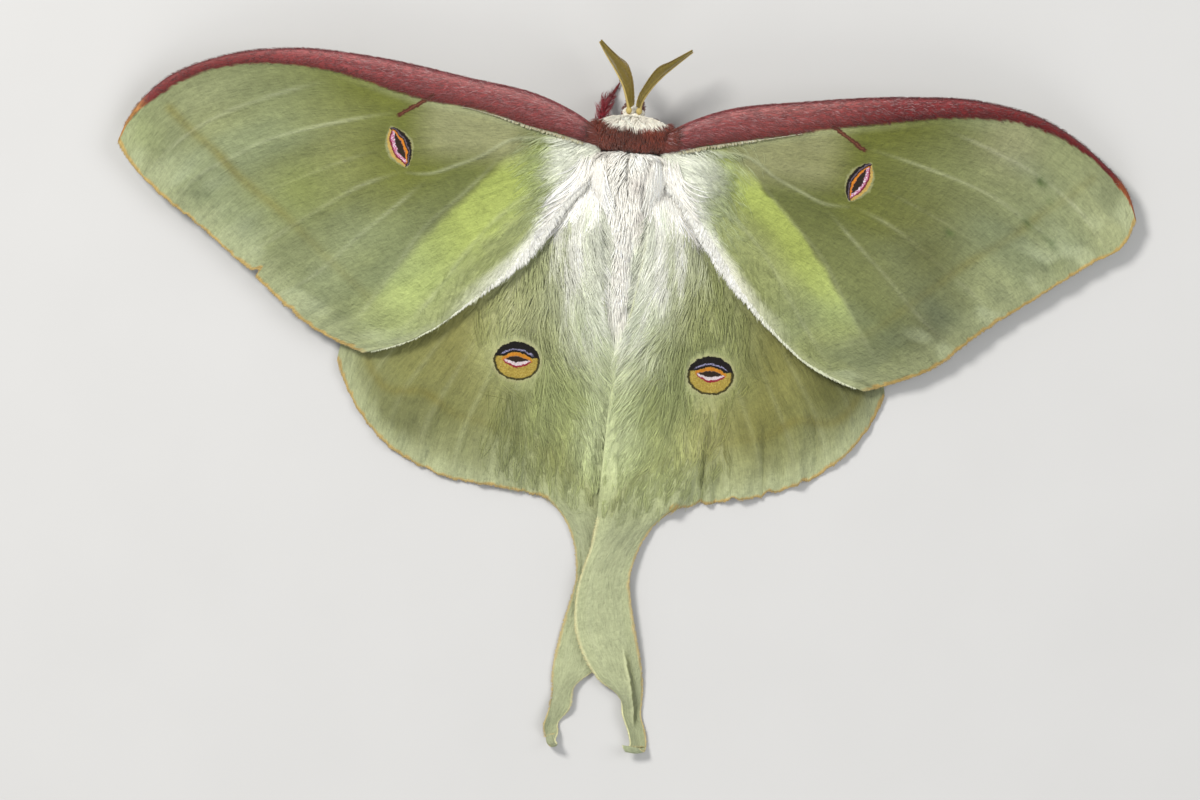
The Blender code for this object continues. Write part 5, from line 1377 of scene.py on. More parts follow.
def coat(name, paths, half, ups, colour, roots, mat, slot):
    """colour is (m, 3) or (m, k, 3); roots (m, 2) place each strand on an unwrap of the skin."""
    m, k = paths.shape[:2]
    paths = paths.copy()
    paths[..., 2] = np.maximum(paths[..., 2], 0.06 + half)
    verts, quads, tris = strand_arrays(paths, half, ups)
    per = verts.shape[1]
    if colour.ndim == 2:
        colour = np.repeat(colour[:, None], k, 1)
    c = np.concatenate([np.repeat(colour[:, :-1], 3, 1), colour[:, -1:]], 1)
    lo, hi = roots.min(0), roots.max(0)
    r = 0.02 + 0.955 * (roots - lo) / np.maximum(hi - lo, 1e-9)
    # each strand's patch: across for its sides, along for its length
    w = np.linspace(0, 1, k)
    u = np.concatenate([np.tile((0.0, 0.5, 1.0), k - 1), [0.5]])
    v = np.concatenate([np.repeat(w[:-1], 3), [1.0]])
    uv = r[:, None] + np.stack([u, v], -1)[None] * 0.003
    assert len(quads) * 2 + len(tris) < 200000, (name, len(quads) * 2 + len(tris))
    obj = new_mesh(name, verts.reshape(-1, 3), quads=quads, tris=tris, uv=uv.reshape(-1, 2),
                   attributes=dict(Col=c.reshape(-1, 3)), mat=FUR[mat], flat=True)
    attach(obj, "root")
    return obj


for side, word in ((-1, "left"), (1, "right")):
    parts, paths, wide, ups = build_antenna(side)
    v, q, t = join(parts)
    v2, q2, t2 = strand_arrays(paths, wide, ups)
    per = v2.shape[1]
    v2 = v2.reshape(-1, 3)
    verts = np.concatenate([v, v2])
    quads = np.concatenate([q, q2 + len(v)])
    tris = np.concatenate([t, t2 + len(v)])
    shaft = np.tile(rgb(178, 158, 96), (len(v), 1))
    along = np.tile(np.r_[np.repeat(np.linspace(0, 1, 7)[:-1], 3), 1.0], len(paths))
    # branches tan, dark brown towards their tips: their own colour, deepened as painted shade along the comb's edge
    c = np.concatenate([shaft, mix(mix(rgb(174, 155, 80), rgb(146, 126, 56), along), rgb(78, 54, 32), smooth(along, 0.74, 0.98))])
    c = c * (1 + 0.12 * noise(verts[:, 0] * 6, verts[:, 1] * 6, 3))[:, None]
    lo, hi = verts.min(0), verts.max(0)
    uv = 0.02 + 0.96 * (verts[:, :2] - lo[:2]) / (hi[:2] - lo[:2])
    obj = new_mesh(f"feeler_{word}", verts, quads=quads, tris=tris, attributes=dict(Col=c), mat=FUR["tan"])
    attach(obj, "root")
    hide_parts(f"antenna_{word}")


# ------------------------------------------------------------------ coat: where the hair grows
def sample_cells(w, count, weight, r):
    """Random points on a wing's top: place, normal, row and column, colour; weight is one number per vertex."""
    top = w["top"]
    a, b, c, d = top[:-1, :-1], top[1:, :-1], top[1:, 1:], top[:-1, 1:]
    size = np.linalg.norm(np.cross(c - a, d - b), axis=-1) * w["cells"]
    odds = size * (weight[:-1, :-1] + weight[1:, 1:])
    odds = np.clip(odds, 0, None).ravel()
    pick = r.choice(len(odds), count, p=odds / odds.sum())
    i, j = np.unravel_index(pick, size.shape)
    u, v = r.random(count)[:, None], r.random(count)[:, None]

    def at(g):
        g = g if g.ndim == 3 else g[..., None]
        return (g[i, j] * (1 - u) + g[i + 1, j] * u) * (1 - v) + (g[i, j + 1] * (1 - u) + g[i + 1, j + 1] * u) * v
    return at(top), unit(at(w["n"])), at(w["s"])[:, 0], at(w["t"])[:, 0], at(w["colour"]), at(w["q"])[:, 0]


CELL = 0.2
LOW = np.array((-56.0, -67.0))
SIZE = (560, 400)


def height_map(clouds):
    h = np.full(SIZE, -1.0)
    for pts in clouds:
        k = np.floor((pts[:, :2] - LOW) / CELL).astype(int)
        np.maximum.at(h, (k[:, 0], k[:, 1]), pts[:, 2])
    for _ in range(3):
        grown = h.copy()
        for a, b in ((1, 0), (-1, 0), (0, 1), (0, -1)):
            grown = np.maximum(grown, np.roll(h, (a, b), (0, 1)))
        h = np.where(h < 0, grown, h)
    soft = h.copy()
    for a, b in ((1, 0), (-1, 0), (0, 1), (0, -1)):
        soft = soft + np.roll(h, (a, b), (0, 1))
    return np.where(h < 0, 0.0, np.maximum(soft / 5, 0))


def height_at(h, x, y):
    u, v = (x - LOW[0]) / CELL - 0.5, (y - LOW[1]) / CELL - 0.5
    i, j = np.clip(np.floor(u).astype(int), 0, SIZE[0] - 2), np.clip(np.floor(v).astype(int), 0, SIZE[1] - 2)
    u, v = np.clip(u - i, 0, 1), np.clip(v - j, 0, 1)
    return (h[i, j] * (1 - u) + h[i + 1, j] * u) * (1 - v) + (h[i, j + 1] * (1 - u) + h[i + 1, j + 1] * u) * v


def dense(w):
    top, cells = w["top"], w["cells"]
    used = np.zeros(top.shape[:2], bool)
    used[:-1, :-1] |= cells
    used[1:, 1:] |= cells
    return top[used]


SKIN_P, SKIN_TRI, SKIN_WORD, SKIN_ALONG, SKIN_ANGLE = skin
H_HIND = height_map([dense(WINGS["hind", 1]), dense(WINGS["hind", -1]), SKIN_P[SKIN_WORD == 0] + (0, 0, 0.35)])
COVER = height_map([dense(WINGS["fore", 1]), dense(WINGS["fore", -1])]) > 0.5

tri_a, tri_b, tri_c = (SKIN_P[SKIN_TRI[:, k]] for k in range(3))
tri_n = np.cross(tri_b - tri_a, tri_c - tri_a)
tri_area = np.linalg.norm(tri_n, axis=1)
tri_n = tri_n / np.maximum(tri_area, 1e-12)[:, None]
tri_mid = (tri_a + tri_b + tri_c) / 3
tri_word = SKIN_WORD[SKIN_TRI].max(1)
# average the faces' normals a little by taking those of the corners
corner_n = np.zeros_like(SKIN_P)
for k in range(3):
    np.add.at(corner_n, SKIN_TRI[:, k], tri_n * tri_area[:, None])
corner_n = unit(corner_n)


def skin_points(count, weight, r):
    odds = tri_area * np.clip(weight, 0, None)
    pick = r.choice(len(odds), count, p=odds / odds.sum())
    a, b = r.random(count), r.random(count)
    fold = a + b > 1
    a, b = np.where(fold, 1 - a, a)[:, None], np.where(fold, 1 - b, b)[:, None]
    p = tri_a[pick] * (1 - a - b) + tri_b[pick] * a + tri_c[pick] * b
    n = unit(corner_n[SKIN_TRI[pick, 0]] * (1 - a - b) + corner_n[SKIN_TRI[pick, 1]] * a + corner_n[SKIN_TRI[pick, 2]] * b)
    v = SKIN_TRI[pick, 0]
    return p, n, SKIN_WORD[v], SKIN_ALONG[v], SKIN_ANGLE[v]


def gather(paths, roots, locks, pull, r, power=1.4):
    """Draws the strands' ends together into locks."""
    pick = r.choice(len(roots), locks, replace=False)
    near = np.empty(len(roots), int)
    for i in range(0, len(roots), 2000):
        d = ((roots[i:i + 2000, None] - roots[pick][None]) ** 2).sum(-1)
        near[i:i + 2000] = d.argmin(1)
    k = np.linspace(0, 1, paths.shape[1])[None, :, None] ** power
    centre = paths[pick][near]
    # the lock's middle strand is followed, apart from a little spread
    return paths + (centre - paths) * k * pull, near


def grow(p, n, lay, length, k, lift, r, bend=0.18, wild=0.12):
    """Paths that leave the skin at p and lie along lay."""
    t = unit(lay - n * np.sum(lay * n, 1, keepdims=True))
    side = np.cross(n, t)
    sway = r.normal(0, wild, (len(p), 1))
    t = unit(t + side * sway)
    u = np.linspace(0, 1, k)[None, :, None]
    rise = lift[:, None, None] * np.sin(np.minimum(u * 1.6, 1) * np.pi / 2)
    wave = side[:, None] * (0.05 * length[:, None, None] * np.sin(u * 4 + r.random((len(p), 1, 1)) * 6.3)) * u
    return p[:, None] + t[:, None] * length[:, None, None] * u + n[:, None] * (rise - bend * length[:, None, None] * u**2) + wave


def taper(width, k, root=0.65):
    u = np.linspace(0, 1, k)
    shape = (root + (1 - root) * np.minimum(u / 0.35, 1)) * np.sqrt(np.clip(1 - u, 0, 1)) ** 1.1
    return width[:, None] * np.clip(shape, 0.06, 1)[None]


def tone(colour, near, r, lock=0.10, each=0.06):
    by_lock = 1 + lock * np.clip(r.normal(0, 1, near.max() + 1), -1.8, 1.8)[near]
    return colour * (by_lock * (1 + each * np.clip(r.normal(0, 1, len(near)), -2, 2)))[:, None]


# painted shade at each strand's root, fading to slightly lighter tips: the colour is scaled from root to tip along the
# strand
def shaded(colour, k, root=0.85, tip=1.04):
    u = np.linspace(root, tip, k)[None, :, None]
    return np.clip(colour[:, None] * u, 0, 1)


H_SKIN = height_map([SKIN_P[SKIN_WORD == 0]])


def body_coat(name, count, weight, lay, length, width, lift, locks, pull, k, mat, slot, seed, paint=None, bend=0.18, wild=0.12, root=0.85, drape=0.0):
    r = np.random.default_rng(seed)
    p, n, word, along, angle = skin_points(count, weight, r)
    direction = lay(p, n)
    size = length(p) * r.uniform(0.75, 1.15, count)
    lift = lift(p) if callable(lift) else np.full(count, lift)
    paths = grow(p, n, direction, size, k, lift * r.uniform(0.5, 1.2, count), r, bend, wild)
    if locks:
        paths, near = gather(paths, p, locks, pull, r)
    else:
        near = np.zeros(count, int)
    if drape:
        # the hair of the back follows the body's outline
        ground = height_at(H_SKIN, paths[..., 0], paths[..., 1])
        on = (n[:, 2:3] > 0.25) & (ground > 1.5)
        u = np.linspace(0, 1, k)[None]
        reach = lift[:, None] * r.uniform(0.45, 1.1, (count, 1)) * np.sin(np.pi * np.clip(u * 1.1 + 0.05, 0, 1)) ** 0.8
        z = ground + 0.05 + reach * drape * (1 - 0.75 * groove(paths[..., 0], paths[..., 1]))
        paths[..., 2] = np.where(on & (u > 0), mix(paths[..., 2], z, smooth(n[:, 2:3], 0.25, 0.6)), paths[..., 2])
    paint = paint or body_colour
    half = taper(width * r.uniform(0.8, 1.25, count), k)
    if drape:
        at = paths.copy()
        at[..., 2] = p[:, 2:3]
        colour = paint(at.reshape(-1, 3), np.repeat(word, k), np.repeat(along, k)).reshape(count, k, 3)
        # each lock's own tone, with painted shade towards the roots and in the partings between the thorax's lobes of
        # hair
        tone_and_root_shade = tone(np.ones((count, 3)), near, r, 0.05, 0.04)[:, None] * np.linspace(root, 1.04, k)[None, :, None]
        colour = np.clip(colour * tone_and_root_shade * (1 - 0.42 * groove(paths[..., 0], paths[..., 1]))[..., None], 0, 1)
        return coat(name, paths, half, n, colour, island(word, along, angle), mat, slot)
    colour = paint(p, word, along)
    colour = tone(colour, near, r, 0.05, 0.04) if mat == "white" else tone(colour, near, r)
    return coat(name, paths, half, n, shaded(colour, k, root), island(word, along, angle), mat, slot)


mx, my, mz = tri_mid.T
trunk = tri_word == 0
inner_eye = np.hypot(np.hypot(np.abs(mx) - EYE_AT[0], my - EYE_AT[1]), mz - EYE_AT[2]) < EYE_R + 0.05


def lay_back(p, n):
    x, y = p[:, 0], p[:, 1]
    swirl = 0.38 * noise(x * 0.55 + 5, y * 0.4, 401)
    part = 0.30 * np.sign(x + 0.05) * np.exp(-(x / 0.9) ** 2) * smooth(y, -6.8, -5.0)
    return np.stack([0.13 * x + swirl + part, -np.ones(len(p)), np.zeros(len(p)) - 0.05], 1)


def lay_abdomen(p, n):
    x, y = p[:, 0], p[:, 1]
    swirl = 0.22 * noise(x * 0.8 + 5, y * 0.5, 402)
    return np.stack([0.16 * np.sign(x) * np.minimum(np.abs(x), 2.2) + swirl, -np.ones(len(p)), np.zeros(len(p))], 1)


def lay_head(p, n):
    x, y, z = p.T
    top = smooth(z, 4.9, 5.8)
    back = np.stack([0.16 * x + 0.35 * noise(x * 1.3, y * 1.3, 14), -np.ones(len(p)), 0.15 * np.ones(len(p))], 1)
    down = np.stack([0.25 * x, 0.15 * np.ones(len(p)), -np.ones(len(p))], 1)
    return mix(down, back, top)


def lay_leg(p, n):
    out = np.zeros_like(p)
    best = np.full(len(p), 1e9)
    for q, rad, t in LEG_LINES.values():
        for i in range(0, len(q) - 3, 3):
            d = np.linalg.norm(p - q[i + 1], axis=1)
            near = d < best
            best = np.where(near, d, best)
            out = np.where(near[:, None], unit(q[i + 3] - q[i]), out)
    return out


upper = smooth(tri_n[:, 2], -0.45, -0.1)
body_coat("coat_thorax", 4200, trunk * smooth(my, -2.2, -2.7) * smooth(my, -11.2, -9.8) * upper, lay_back,
          lambda p: 2.2 + 1.7 * smooth(p[:, 1], -4, -8.5), 0.062, 0.50, 130, 0.66, 6, "white", "white_fur", 11, root=0.96, drape=1.0,
          paint=lambda p, word, along: body_colour(np.minimum(p, (99.0, -3.0, 99.0)), word, along))
body_coat("coat_abdomen", 4300, trunk * smooth(my, -9.0, -10.2) * (0.4 + 0.6 * upper + 1.6 * upper * np.exp(-(mx / 1.0) ** 2)) * smooth(tri_n[:, 2], -0.75, -0.4),
          lay_abdomen, lambda p: 2.4 - 1.0 * smooth(p[:, 1], -12, -22), 0.055, lambda p: 0.26 + 0.70 * np.exp(-(p[:, 0] / 0.8) ** 2) * smooth(p[:, 1], -22, -18), 200,
          0.55, 5, "white", "white_fur", 12, root=0.96, drape=1.0)
body_coat("coat_belly", 2300, trunk * smooth(my, -0.8, -2.0) * smooth(tri_n[:, 2], -0.05, -0.4), lay_back,
          lambda p: 1.9 - 0.7 * smooth(p[:, 1], -9, -20), 0.065, 0.35, 170, 0.6, 4, "white", "white_fur", 13)


def collar_weight(p):
    front = front_line(p[:, 0])
    rear = rear_line(p[:, 0])
    return smooth(p[:, 1], rear - 0.2, rear + 0.1) * smooth(p[:, 1], front + 0.25, front) * smooth(p[:, 2], 4.6, 5.4)


def lay_collar(p, n):
    x, y = p[:, 0], p[:, 1]
    return np.stack([0.10 * x + 0.25 * noise(x * 1.1, y * 1.1, 9), -np.ones(len(p)) * smooth(y, 1.4, 0.4) - 0.15, 0.1 * np.ones(len(p))], 1)


body_coat("coat_collar", 4800, trunk * collar_weight(tri_mid), lay_collar, lambda p: 0.85 + 0 * p[:, 0], 0.042, 0.26, 380, 0.3, 4,
          "maroon", "maroon_fur", 14, bend=0.12, root=0.75)
body_coat("coat_head", 3500, trunk * ~inner_eye * smooth(my, -1.2, -0.2) * (1 - collar_weight(tri_mid)) * (mz > 3.2)
          * (1 - smooth(my, 1.25, 1.45) * smooth(mz, 5.2, 5.8)), lay_head,
          lambda p: 0.62 + 0.12 * smooth(p[:, 2], 5.2, 6.4), 0.044, 0.26, 260, 0.5, 5, "white", "white_fur", 15, root=0.95)
body_coat("coat_face", 1300, trunk * ~inner_eye * smooth(my, 0.0, 0.8) * (mz <= 3.9), lay_head,
          lambda p: 0.36 + 0 * p[:, 0], 0.030, 0.10, 150, 0.4, 4, "maroon", "maroon_fur", 16)
leg_part = tri_word > 0
leg_along = SKIN_ALONG[SKIN_TRI].mean(1)
body_coat("coat_legs", 4700, leg_part * smooth(leg_along, 1.0, 0.9) * (1 + 1.5 * smooth(leg_along, 0.75, 0.3)) * (1 + 1.2 * smooth(my, 0.4, 1.0)), lay_leg,
          lambda p: 0.32 + 0.42 * smooth(p[:, 2], 0.5, 1.8) + 0.45 * smooth(p[:, 2], 0.8, 1.6) * smooth(p[:, 1], 0.5, 1.5), 0.036, lambda p: 0.24 + 0.35 * smooth(p[:, 1], 0.3, 1.2) * smooth(p[:, 2], 0.9, 1.6), 380, 0.4, 4,
          "maroon", "maroon_fur", 17, bend=0.02, wild=0.3)

# ------------------------------------------------------------------ coat: the wings
LIE_X = [1.5, 4, 7, 10, 14, 18]
LIE_Y = [-4, -8, -14, -20, -26, -32, -38, -46]
LIE = np.array([[0, 6, 16, 30, 44, 50], [-22, -4, 12, 25, 38, 45], [-36, -20, 2, 16, 28, 36], [-38, -26, -6, 8, 18, 26],
                [-36, -26, -11, 1, 12, 20], [-28, -22, -14, -4, 6, 14], [-12, -16, -16, -9, 0, 8], [-4, -6, -8, -8, 0, 4]], float)


def lie_at(x, y):
    """The way the hair lies on the hindwings, in radians outward from straight back."""
    a = np.clip(np.interp(np.abs(x), LIE_X, np.arange(6)), 0, 4.999)
    b = np.clip(np.interp(-y, [-v for v in LIE_Y], np.arange(8)), 0, 6.999)
    i, j = a.astype(int), b.astype(int)
    u, v = a - i, b - j
    table = np.radians(LIE)
    return ((table[j, i] * (1 - u) + table[j, i + 1] * u) * (1 - v) + (table[j + 1, i] * (1 - u) + table[j + 1, i + 1] * u) * v)


H_ALL = height_map([dense(w) for w in WINGS.values()] + [SKIN_P[SKIN_WORD == 0] + (0, 0, 0.35)])


def lie_down(p, angle, size, side, k, heights, lift, r, locks, pull, swirl, ridge=0.0):
    """Paths over the wings from above: the plan comes from angle(x, y), the height from the map."""
    count = len(p)
    plan = np.empty((count, k, 2))
    plan[:, 0] = p[:, :2]
    wild = r.normal(0, 0.10, count) + swirl
    curl = r.normal(0, 0.05, count)
    for m in range(1, k):
        a = angle(plan[:, m - 1, 0], plan[:, m - 1, 1]) + wild + curl * m
        plan[:, m] = plan[:, m - 1] + np.stack([side * np.sin(a), -np.cos(a)], 1) * (size / (k - 1))[:, None]
    own = np.r_[0.0, np.linspace(0.4, 1, k - 1)]
    paths = np.concatenate([plan, np.zeros((count, k, 1))], 2)
    paths, near = gather(paths, p, locks, pull, r, 1.2)
    keep = ridge * smooth(paths[..., 1], -19.5, -15.0)
    paths[..., 0] = np.where(paths[..., 0] * side < keep, side * (keep - 0.25 * (keep - paths[..., 0] * side)), paths[..., 0])
    z = height_at(heights, paths[..., 0], paths[..., 1])
    raised = 0.045 + lift * r.uniform(0.3, 1.0, (count, 1)) * np.sin(np.pi * np.clip(own, 0, 0.85))[None]
    paths[..., 2] = np.maximum(z, p[:, 2:3] - 2.5) + raised
    paths[:, 0, 2] = p[:, 2] - 0.03
    return paths, near


def hair_on_hind(side, name, count, weight, length, width, seed, locks, paint, k=7, lift=0.16, pull=0.7):
    r = np.random.default_rng(seed)
    w = WINGS["hind", side]
    p, n, s, t, base, q = sample_cells(w, int(count * 1.25), weight(w["top"][..., 0] * side, w["top"][..., 1], w["s"], w["t"]), r)
    i, j = ((p[:, :2] - LOW) / CELL).astype(int).T
    hidden = height_at(H_HIND, p[:, 0], p[:, 1]) > p[:, 2] + 0.5
    free = ~COVER[np.clip(i, 0, SIZE[0] - 1), np.clip(j, 0, SIZE[1] - 1)] & ~hidden
    p, n, s, t, base = (v[free][:count] for v in (p, n, s, t, base))
    count = len(p)
    size = length(p[:, 0] * side, p[:, 1]) * r.uniform(0.7, 1.15, count)
    paths, near = lie_down(p, lie_at, size, side, k, H_HIND, lift, r, locks, pull, 0.30 * noise(p[:, 0] * 0.8, p[:, 1] * 0.35, 500 + seed), 1.05)
    def clear_of_eye(paths):
        return (np.hypot((paths[..., 0] * side - 10.05) / 2.66, (paths[..., 1] + 24.75) / 2.22) > 1).all(1)
    # strands that would run over the eye are cut short in front of it
    full = np.linspace(0, k - 1, k)
    for part in (0.6, 0.35):
        bad = ~clear_of_eye(paths)
        i = np.clip(np.floor(full * part).astype(int), 0, k - 2)
        f = (full * part - i)[None, :, None]
        paths[bad] = paths[bad][:, i] * (1 - f) + paths[bad][:, i + 1] * f
    clear = clear_of_eye(paths) & (height_at(H_HIND, paths[..., 0], paths[..., 1]) > 0.14).all(1)
    p, base, paths, near, count = p[clear], base[clear], paths[clear], near[clear], int(clear.sum())
    colour = paint(p, base, r)
    colour = np.clip(tone(colour, near, r, 0.10, 0.06), 0, 1)
    half = taper(width * r.uniform(0.75, 1.25, count), k, 0.5)
    return coat(name, paths, half, np.tile((0.0, 0.0, 1.0), (count, 1)), shaded(colour, k, 0.90, 1.05), p[:, :2], "green", "wing_green")


def paint_hind(p, base, r):
    ax = np.abs(p[:, 0])
    near = smooth(np.hypot(ax - 1.0, (p[:, 1] + 10) * 0.55), 9.8, 4.0)
    c = mix(base * np.array((1.16, 1.18, 1.06)), rgb(214, 226, 190), 0.75 * smooth(ax, 7, 2.0) * smooth(p[:, 1], -25, -18))
    # a painted pool of light near the midline, against the shade between the strands there
    c = mix(c, rgb(222, 231, 184), 0.72 * smooth(ax, 5.0, 1.5) * smooth(p[:, 1], -21, -25) * smooth(p[:, 1], -37, -30))
    c = c * (1 + 0.10 * fractal(ax * 2.6, p[:, 1] * 0.3, 89, 2))[:, None]
    across = ax / (1 + 0.035 * np.maximum(-p[:, 1] - 5, 0))
    locks = noise(across * 1.7 + 0.6 * np.sign(p[:, 0]), p[:, 1] * 0.09, 88) + 0.5 * noise(across * 4.2, p[:, 1] * 0.16, 90)
    least = 0.20 + 0.48 * smooth(ax, 6.0, 2.5) * smooth(p[:, 1], -22, -14)
    patchy = least + (1 - least) * smooth(locks, -0.25, 0.30)
    # darker between the locks: painted shade in the gaps
    c = c * (1 - 0.16 * smooth(locks, 0.0, -0.6) * smooth(ax, 10, 5))[:, None]
    return mix(c, GREEN["white"], np.clip(0.80 * near * patchy + 0.4 * smooth(ax, 2.4, 1.0) * smooth(p[:, 1], -26, -16), 0, 1))


# hair from the ridge of the abdomen runs out over its end
r = np.random.default_rng(29)
count = 1100
p = np.stack([r.normal(0, 0.40, count), -14.0 - 8.0 * r.random(count), np.zeros(count)], 1)
roof = H_HIND
for step in range(5):
    for a, b in ((1, 0), (-1, 0), (0, 1), (0, -1)):
        roof = np.maximum(roof, 0.93 * np.roll(roof, (a, b), (0, 1)))
roof = sum(np.roll(roof, (a, b), (0, 1)) for a in (-2, -1, 0, 1, 2) for b in (-2, -1, 0, 1, 2)) / 25
u = np.linspace(0, 1, 6)[None]
drift = np.sin(p[:, :1] * 1.3 + 0.5) * 0.12 + r.normal(0, 0.05, (count, 1))
paths = np.stack([p[:, :1] * (1 - 0.35 * u) + drift * 3 * u, p[:, 1:2] - (3.0 + 1.6 * r.random((count, 1))) * u, 0 * u * p[:, :1]], 2)
paths, near = gather(paths, p, 90, 0.6, r)
lift = r.uniform(0.05, 0.42, (count, 1)) * smooth(paths[..., 1], -28.0, -21.0)
paths[..., 2] = height_at(roof, paths[..., 0], paths[..., 1]) + lift * np.sin(np.pi * np.clip(u + 0.12, 0, 1)) + 0.02
paths[:, 0, 2] -= 0.3
c = mix(np.tile(WHITE, (count, 1)), rgb(200, 212, 170), 0.85 * smooth(p[:, 1] - np.abs(p[:, 0]), -18.0, -23.5))
coat("coat_ridge", paths, taper(0.052 * r.uniform(0.75, 1.25, count), 6, 0.55), np.tile((0.0, 0.0, 1.0), (count, 1)),
     shaded(np.clip(tone(c, near, r, 0.05, 0.04), 0, 1), 6, 0.96), p[:, :2], "white", "white_fur")

for side, word in ((1, "right"), (-1, "left")):
    hair_on_hind(side, f"coat_hair_{word}_a", 3900,
                 lambda x, y, s, t: (smooth(x, 9.5, 3.5) + 0.34 * smooth(x, 16.5, 10.5)) * smooth(x, -1.5, 0.5) * smooth(y, -30, -16) * smooth(y, -4.5, -6.5) * (t < 1),
                 lambda x, y: 4.8 - 2.0 * smooth(x, 6.5, 11), 0.038, 21 + side, 210, paint_hind, 6, 0.36, 0.75)
    hair_on_hind(side, f"coat_hair_{word}_b", 2900,
                 lambda x, y, s, t: smooth(x, 14, 6) * smooth(y, -46, -34) * smooth(y, -17, -22) * smooth(s, 0.42, 0.60)
                 * (np.hypot(x - 10.05, (y + 24.75) * 0.9) > 2.6) * smooth(t, 1.04, 0.88),
                 lambda x, y: 3.0 - 1.3 * smooth(y, -27, -36) - 0.6 * smooth(y, -35, -42), 0.033, 31 + side, 420, paint_hind, 5, 0.09)

    # thick white locks from the side of the thorax along the forewing's inner margin
    r = np.random.default_rng(51 + side)
    count = 1500
    px, py = r.uniform(2.3, 4.9, count), -2.7 - 5.6 * r.random(count) ** 0.9
    px = px + 0.16 * np.maximum(0, -4.5 - py)
    p = np.stack([side * px, py, height_at(H_ALL, side * px, py)], 1)
    size = r.uniform(3.2, 6.6, count)
    paths, near = lie_down(p, lambda x, y: np.radians(6 + 31 * smooth(np.abs(x) - 0.1 * y, 3.6, 7.6)), size, side, 7, H_ALL, 0.36, r, 80, 0.7,
                           0.16 * noise(px * 0.8, py * 0.4, 55))
    colour = tone(np.tile(WHITE, (count, 1)), near, r, 0.07, 0.04)
    # white locks with painted shade at their roots
    mint_tips_and_root_shade = shaded(np.clip(colour, 0, 1), 7, 0.97)
    # the locks beside the body turn mint towards their ends
    inward = np.interp(-paths[..., 1], [4.4, 8.2, 12.6, 18.6], [3.0, 6.4, 9.4, 14.9]) - np.abs(paths[..., 0])
    mint_tips_and_root_shade = mix(mint_tips_and_root_shade, rgb(206, 220, 184), 0.60 * smooth(inward, 0.9, 2.6) * smooth(paths[..., 1], -6.8, -9.8)
              * smooth(noise(px * 2.2, py * 0.3, 56), -0.5, 0.4)[:, None])
    coat(f"coat_shoulder_{word}", paths, taper(0.062 * r.uniform(0.75, 1.25, count), 7, 0.55), np.tile((0.0, 0.0, 1.0), (count, 1)),
         mint_tips_and_root_shade, p[:, :2], "white", "white_fur")

    # fuzz on the forewing's base, and the white comb along its inner margin
    w = WINGS["fore", side]
    r = np.random.default_rng(41 + side)
    X, Y = w["top"][..., 0] * side, w["top"][..., 1]
    trail_d, trail_w = to_line(X, Y, [(abs(a), b) for a, b, _ in FORE[side]["trail"]], 60)
    weight = (w["q"] >= 1) * smooth(X, 2.6, 3.4) * (smooth(np.hypot(X - 3.2, Y + 3.0), 9.5 if side < 0 else 11.0, 3.0) ** 1.3
                                                    + 0.34 * smooth(trail_d, 5.5, 1.0) * smooth(trail_w, 0.85, 0.3))
    p, n, s, t, base, q = sample_cells(w, 2500, weight, r)
    ax = p[:, 0] * side
    away = np.hypot(ax - 3.2, p[:, 1] + 3.0)
    a = np.radians(62 - 2.0 * away) + r.normal(0, 0.16, len(p)) + 0.3 * noise(p[:, 0] * 0.8, p[:, 1] * 0.8, 61)
    lay = np.stack([side * np.sin(a), -np.cos(a), np.zeros(len(p))], 1)
    size = (2.7 - 1.2 * smooth(away, 3, 11)) * r.uniform(0.7, 1.15, len(p))
    paths = grow(p, n, lay, size, 4, (0.06 + 0.12 * smooth(away, 7, 3)) * r.uniform(0.4, 1.1, len(p)), r, 0.01, 0.1)
    paths, near = gather(paths, p, 420, 0.5, r)
    pale = mix(base * 1.22, rgb(200, 212, 172), (0.42 if side > 0 else 0.30) * smooth(away, 15, 7))
    pale = pale * (1 + 0.10 * fractal(ax * 1.6 + p[:, 1], p[:, 1] * 0.3, 91, 2))[:, None]
    colour = np.clip(tone(mix(pale, rgb(240, 243, 226), 0.88 * smooth(away, 7.0 if side > 0 else 5.8, 2.6)), near, r, 0.07, 0.05), 0, 1)
    coat(f"coat_base_{word}", paths, taper((0.028 + 0.012 * smooth(away, 8, 4)) * r.uniform(0.8, 1.25, len(p)), 4, 0.5), n, shaded(colour, 4, 0.97),
         p[:, :2], "green", "wing_green")

    count = 3400
    f = np.sort(r.random(count) ** 1.15) * 0.93 + 0.04
    line = np.array(FORE[side]["trail"])
    at = spline(line, f)
    d = unit(spline(line, f + 0.01) - at)
    away = np.stack([d[:, 1] * side, -d[:, 0] * side, np.zeros(count)], 1)
    away = np.where((away[:, :1] * side) > 0, -away, away)
    strong = smooth(f, 0.72, 0.22)
    inset = r.random(count) * (0.22 + 0.75 * strong)
    root_at = at - away * inset[:, None] + np.array((0, 0, 0.10))
    lay = away * 0.85 + d * (0.75 + 0.35 * noise(f * 40, 0.5, 8))[:, None]
    size = (0.34 + 0.70 * strong) * r.uniform(0.7, 1.2, count)
    up = np.tile((0.0, 0.0, 1.0), (count, 1))
    paths = grow(root_at, up, lay, size, 4, (0.03 + 0.15 * strong) * r.uniform(0.4, 1.2, count), r, 0.16, 0.14)
    paths, near = gather(paths, root_at, 620, 0.4, r)
    colour = tone(mix(np.tile(rgb(216, 220, 186), (count, 1)), GREEN["white"], smooth(f, 0.9, 0.4)), near, r, 0.07, 0.05)
    coat(f"coat_comb_{word}", paths, taper(0.036 * r.uniform(0.8, 1.25, count), 4, 0.6), up, shaded(colour, 4, 0.92), root_at[:, :2], "white", "white_fur")

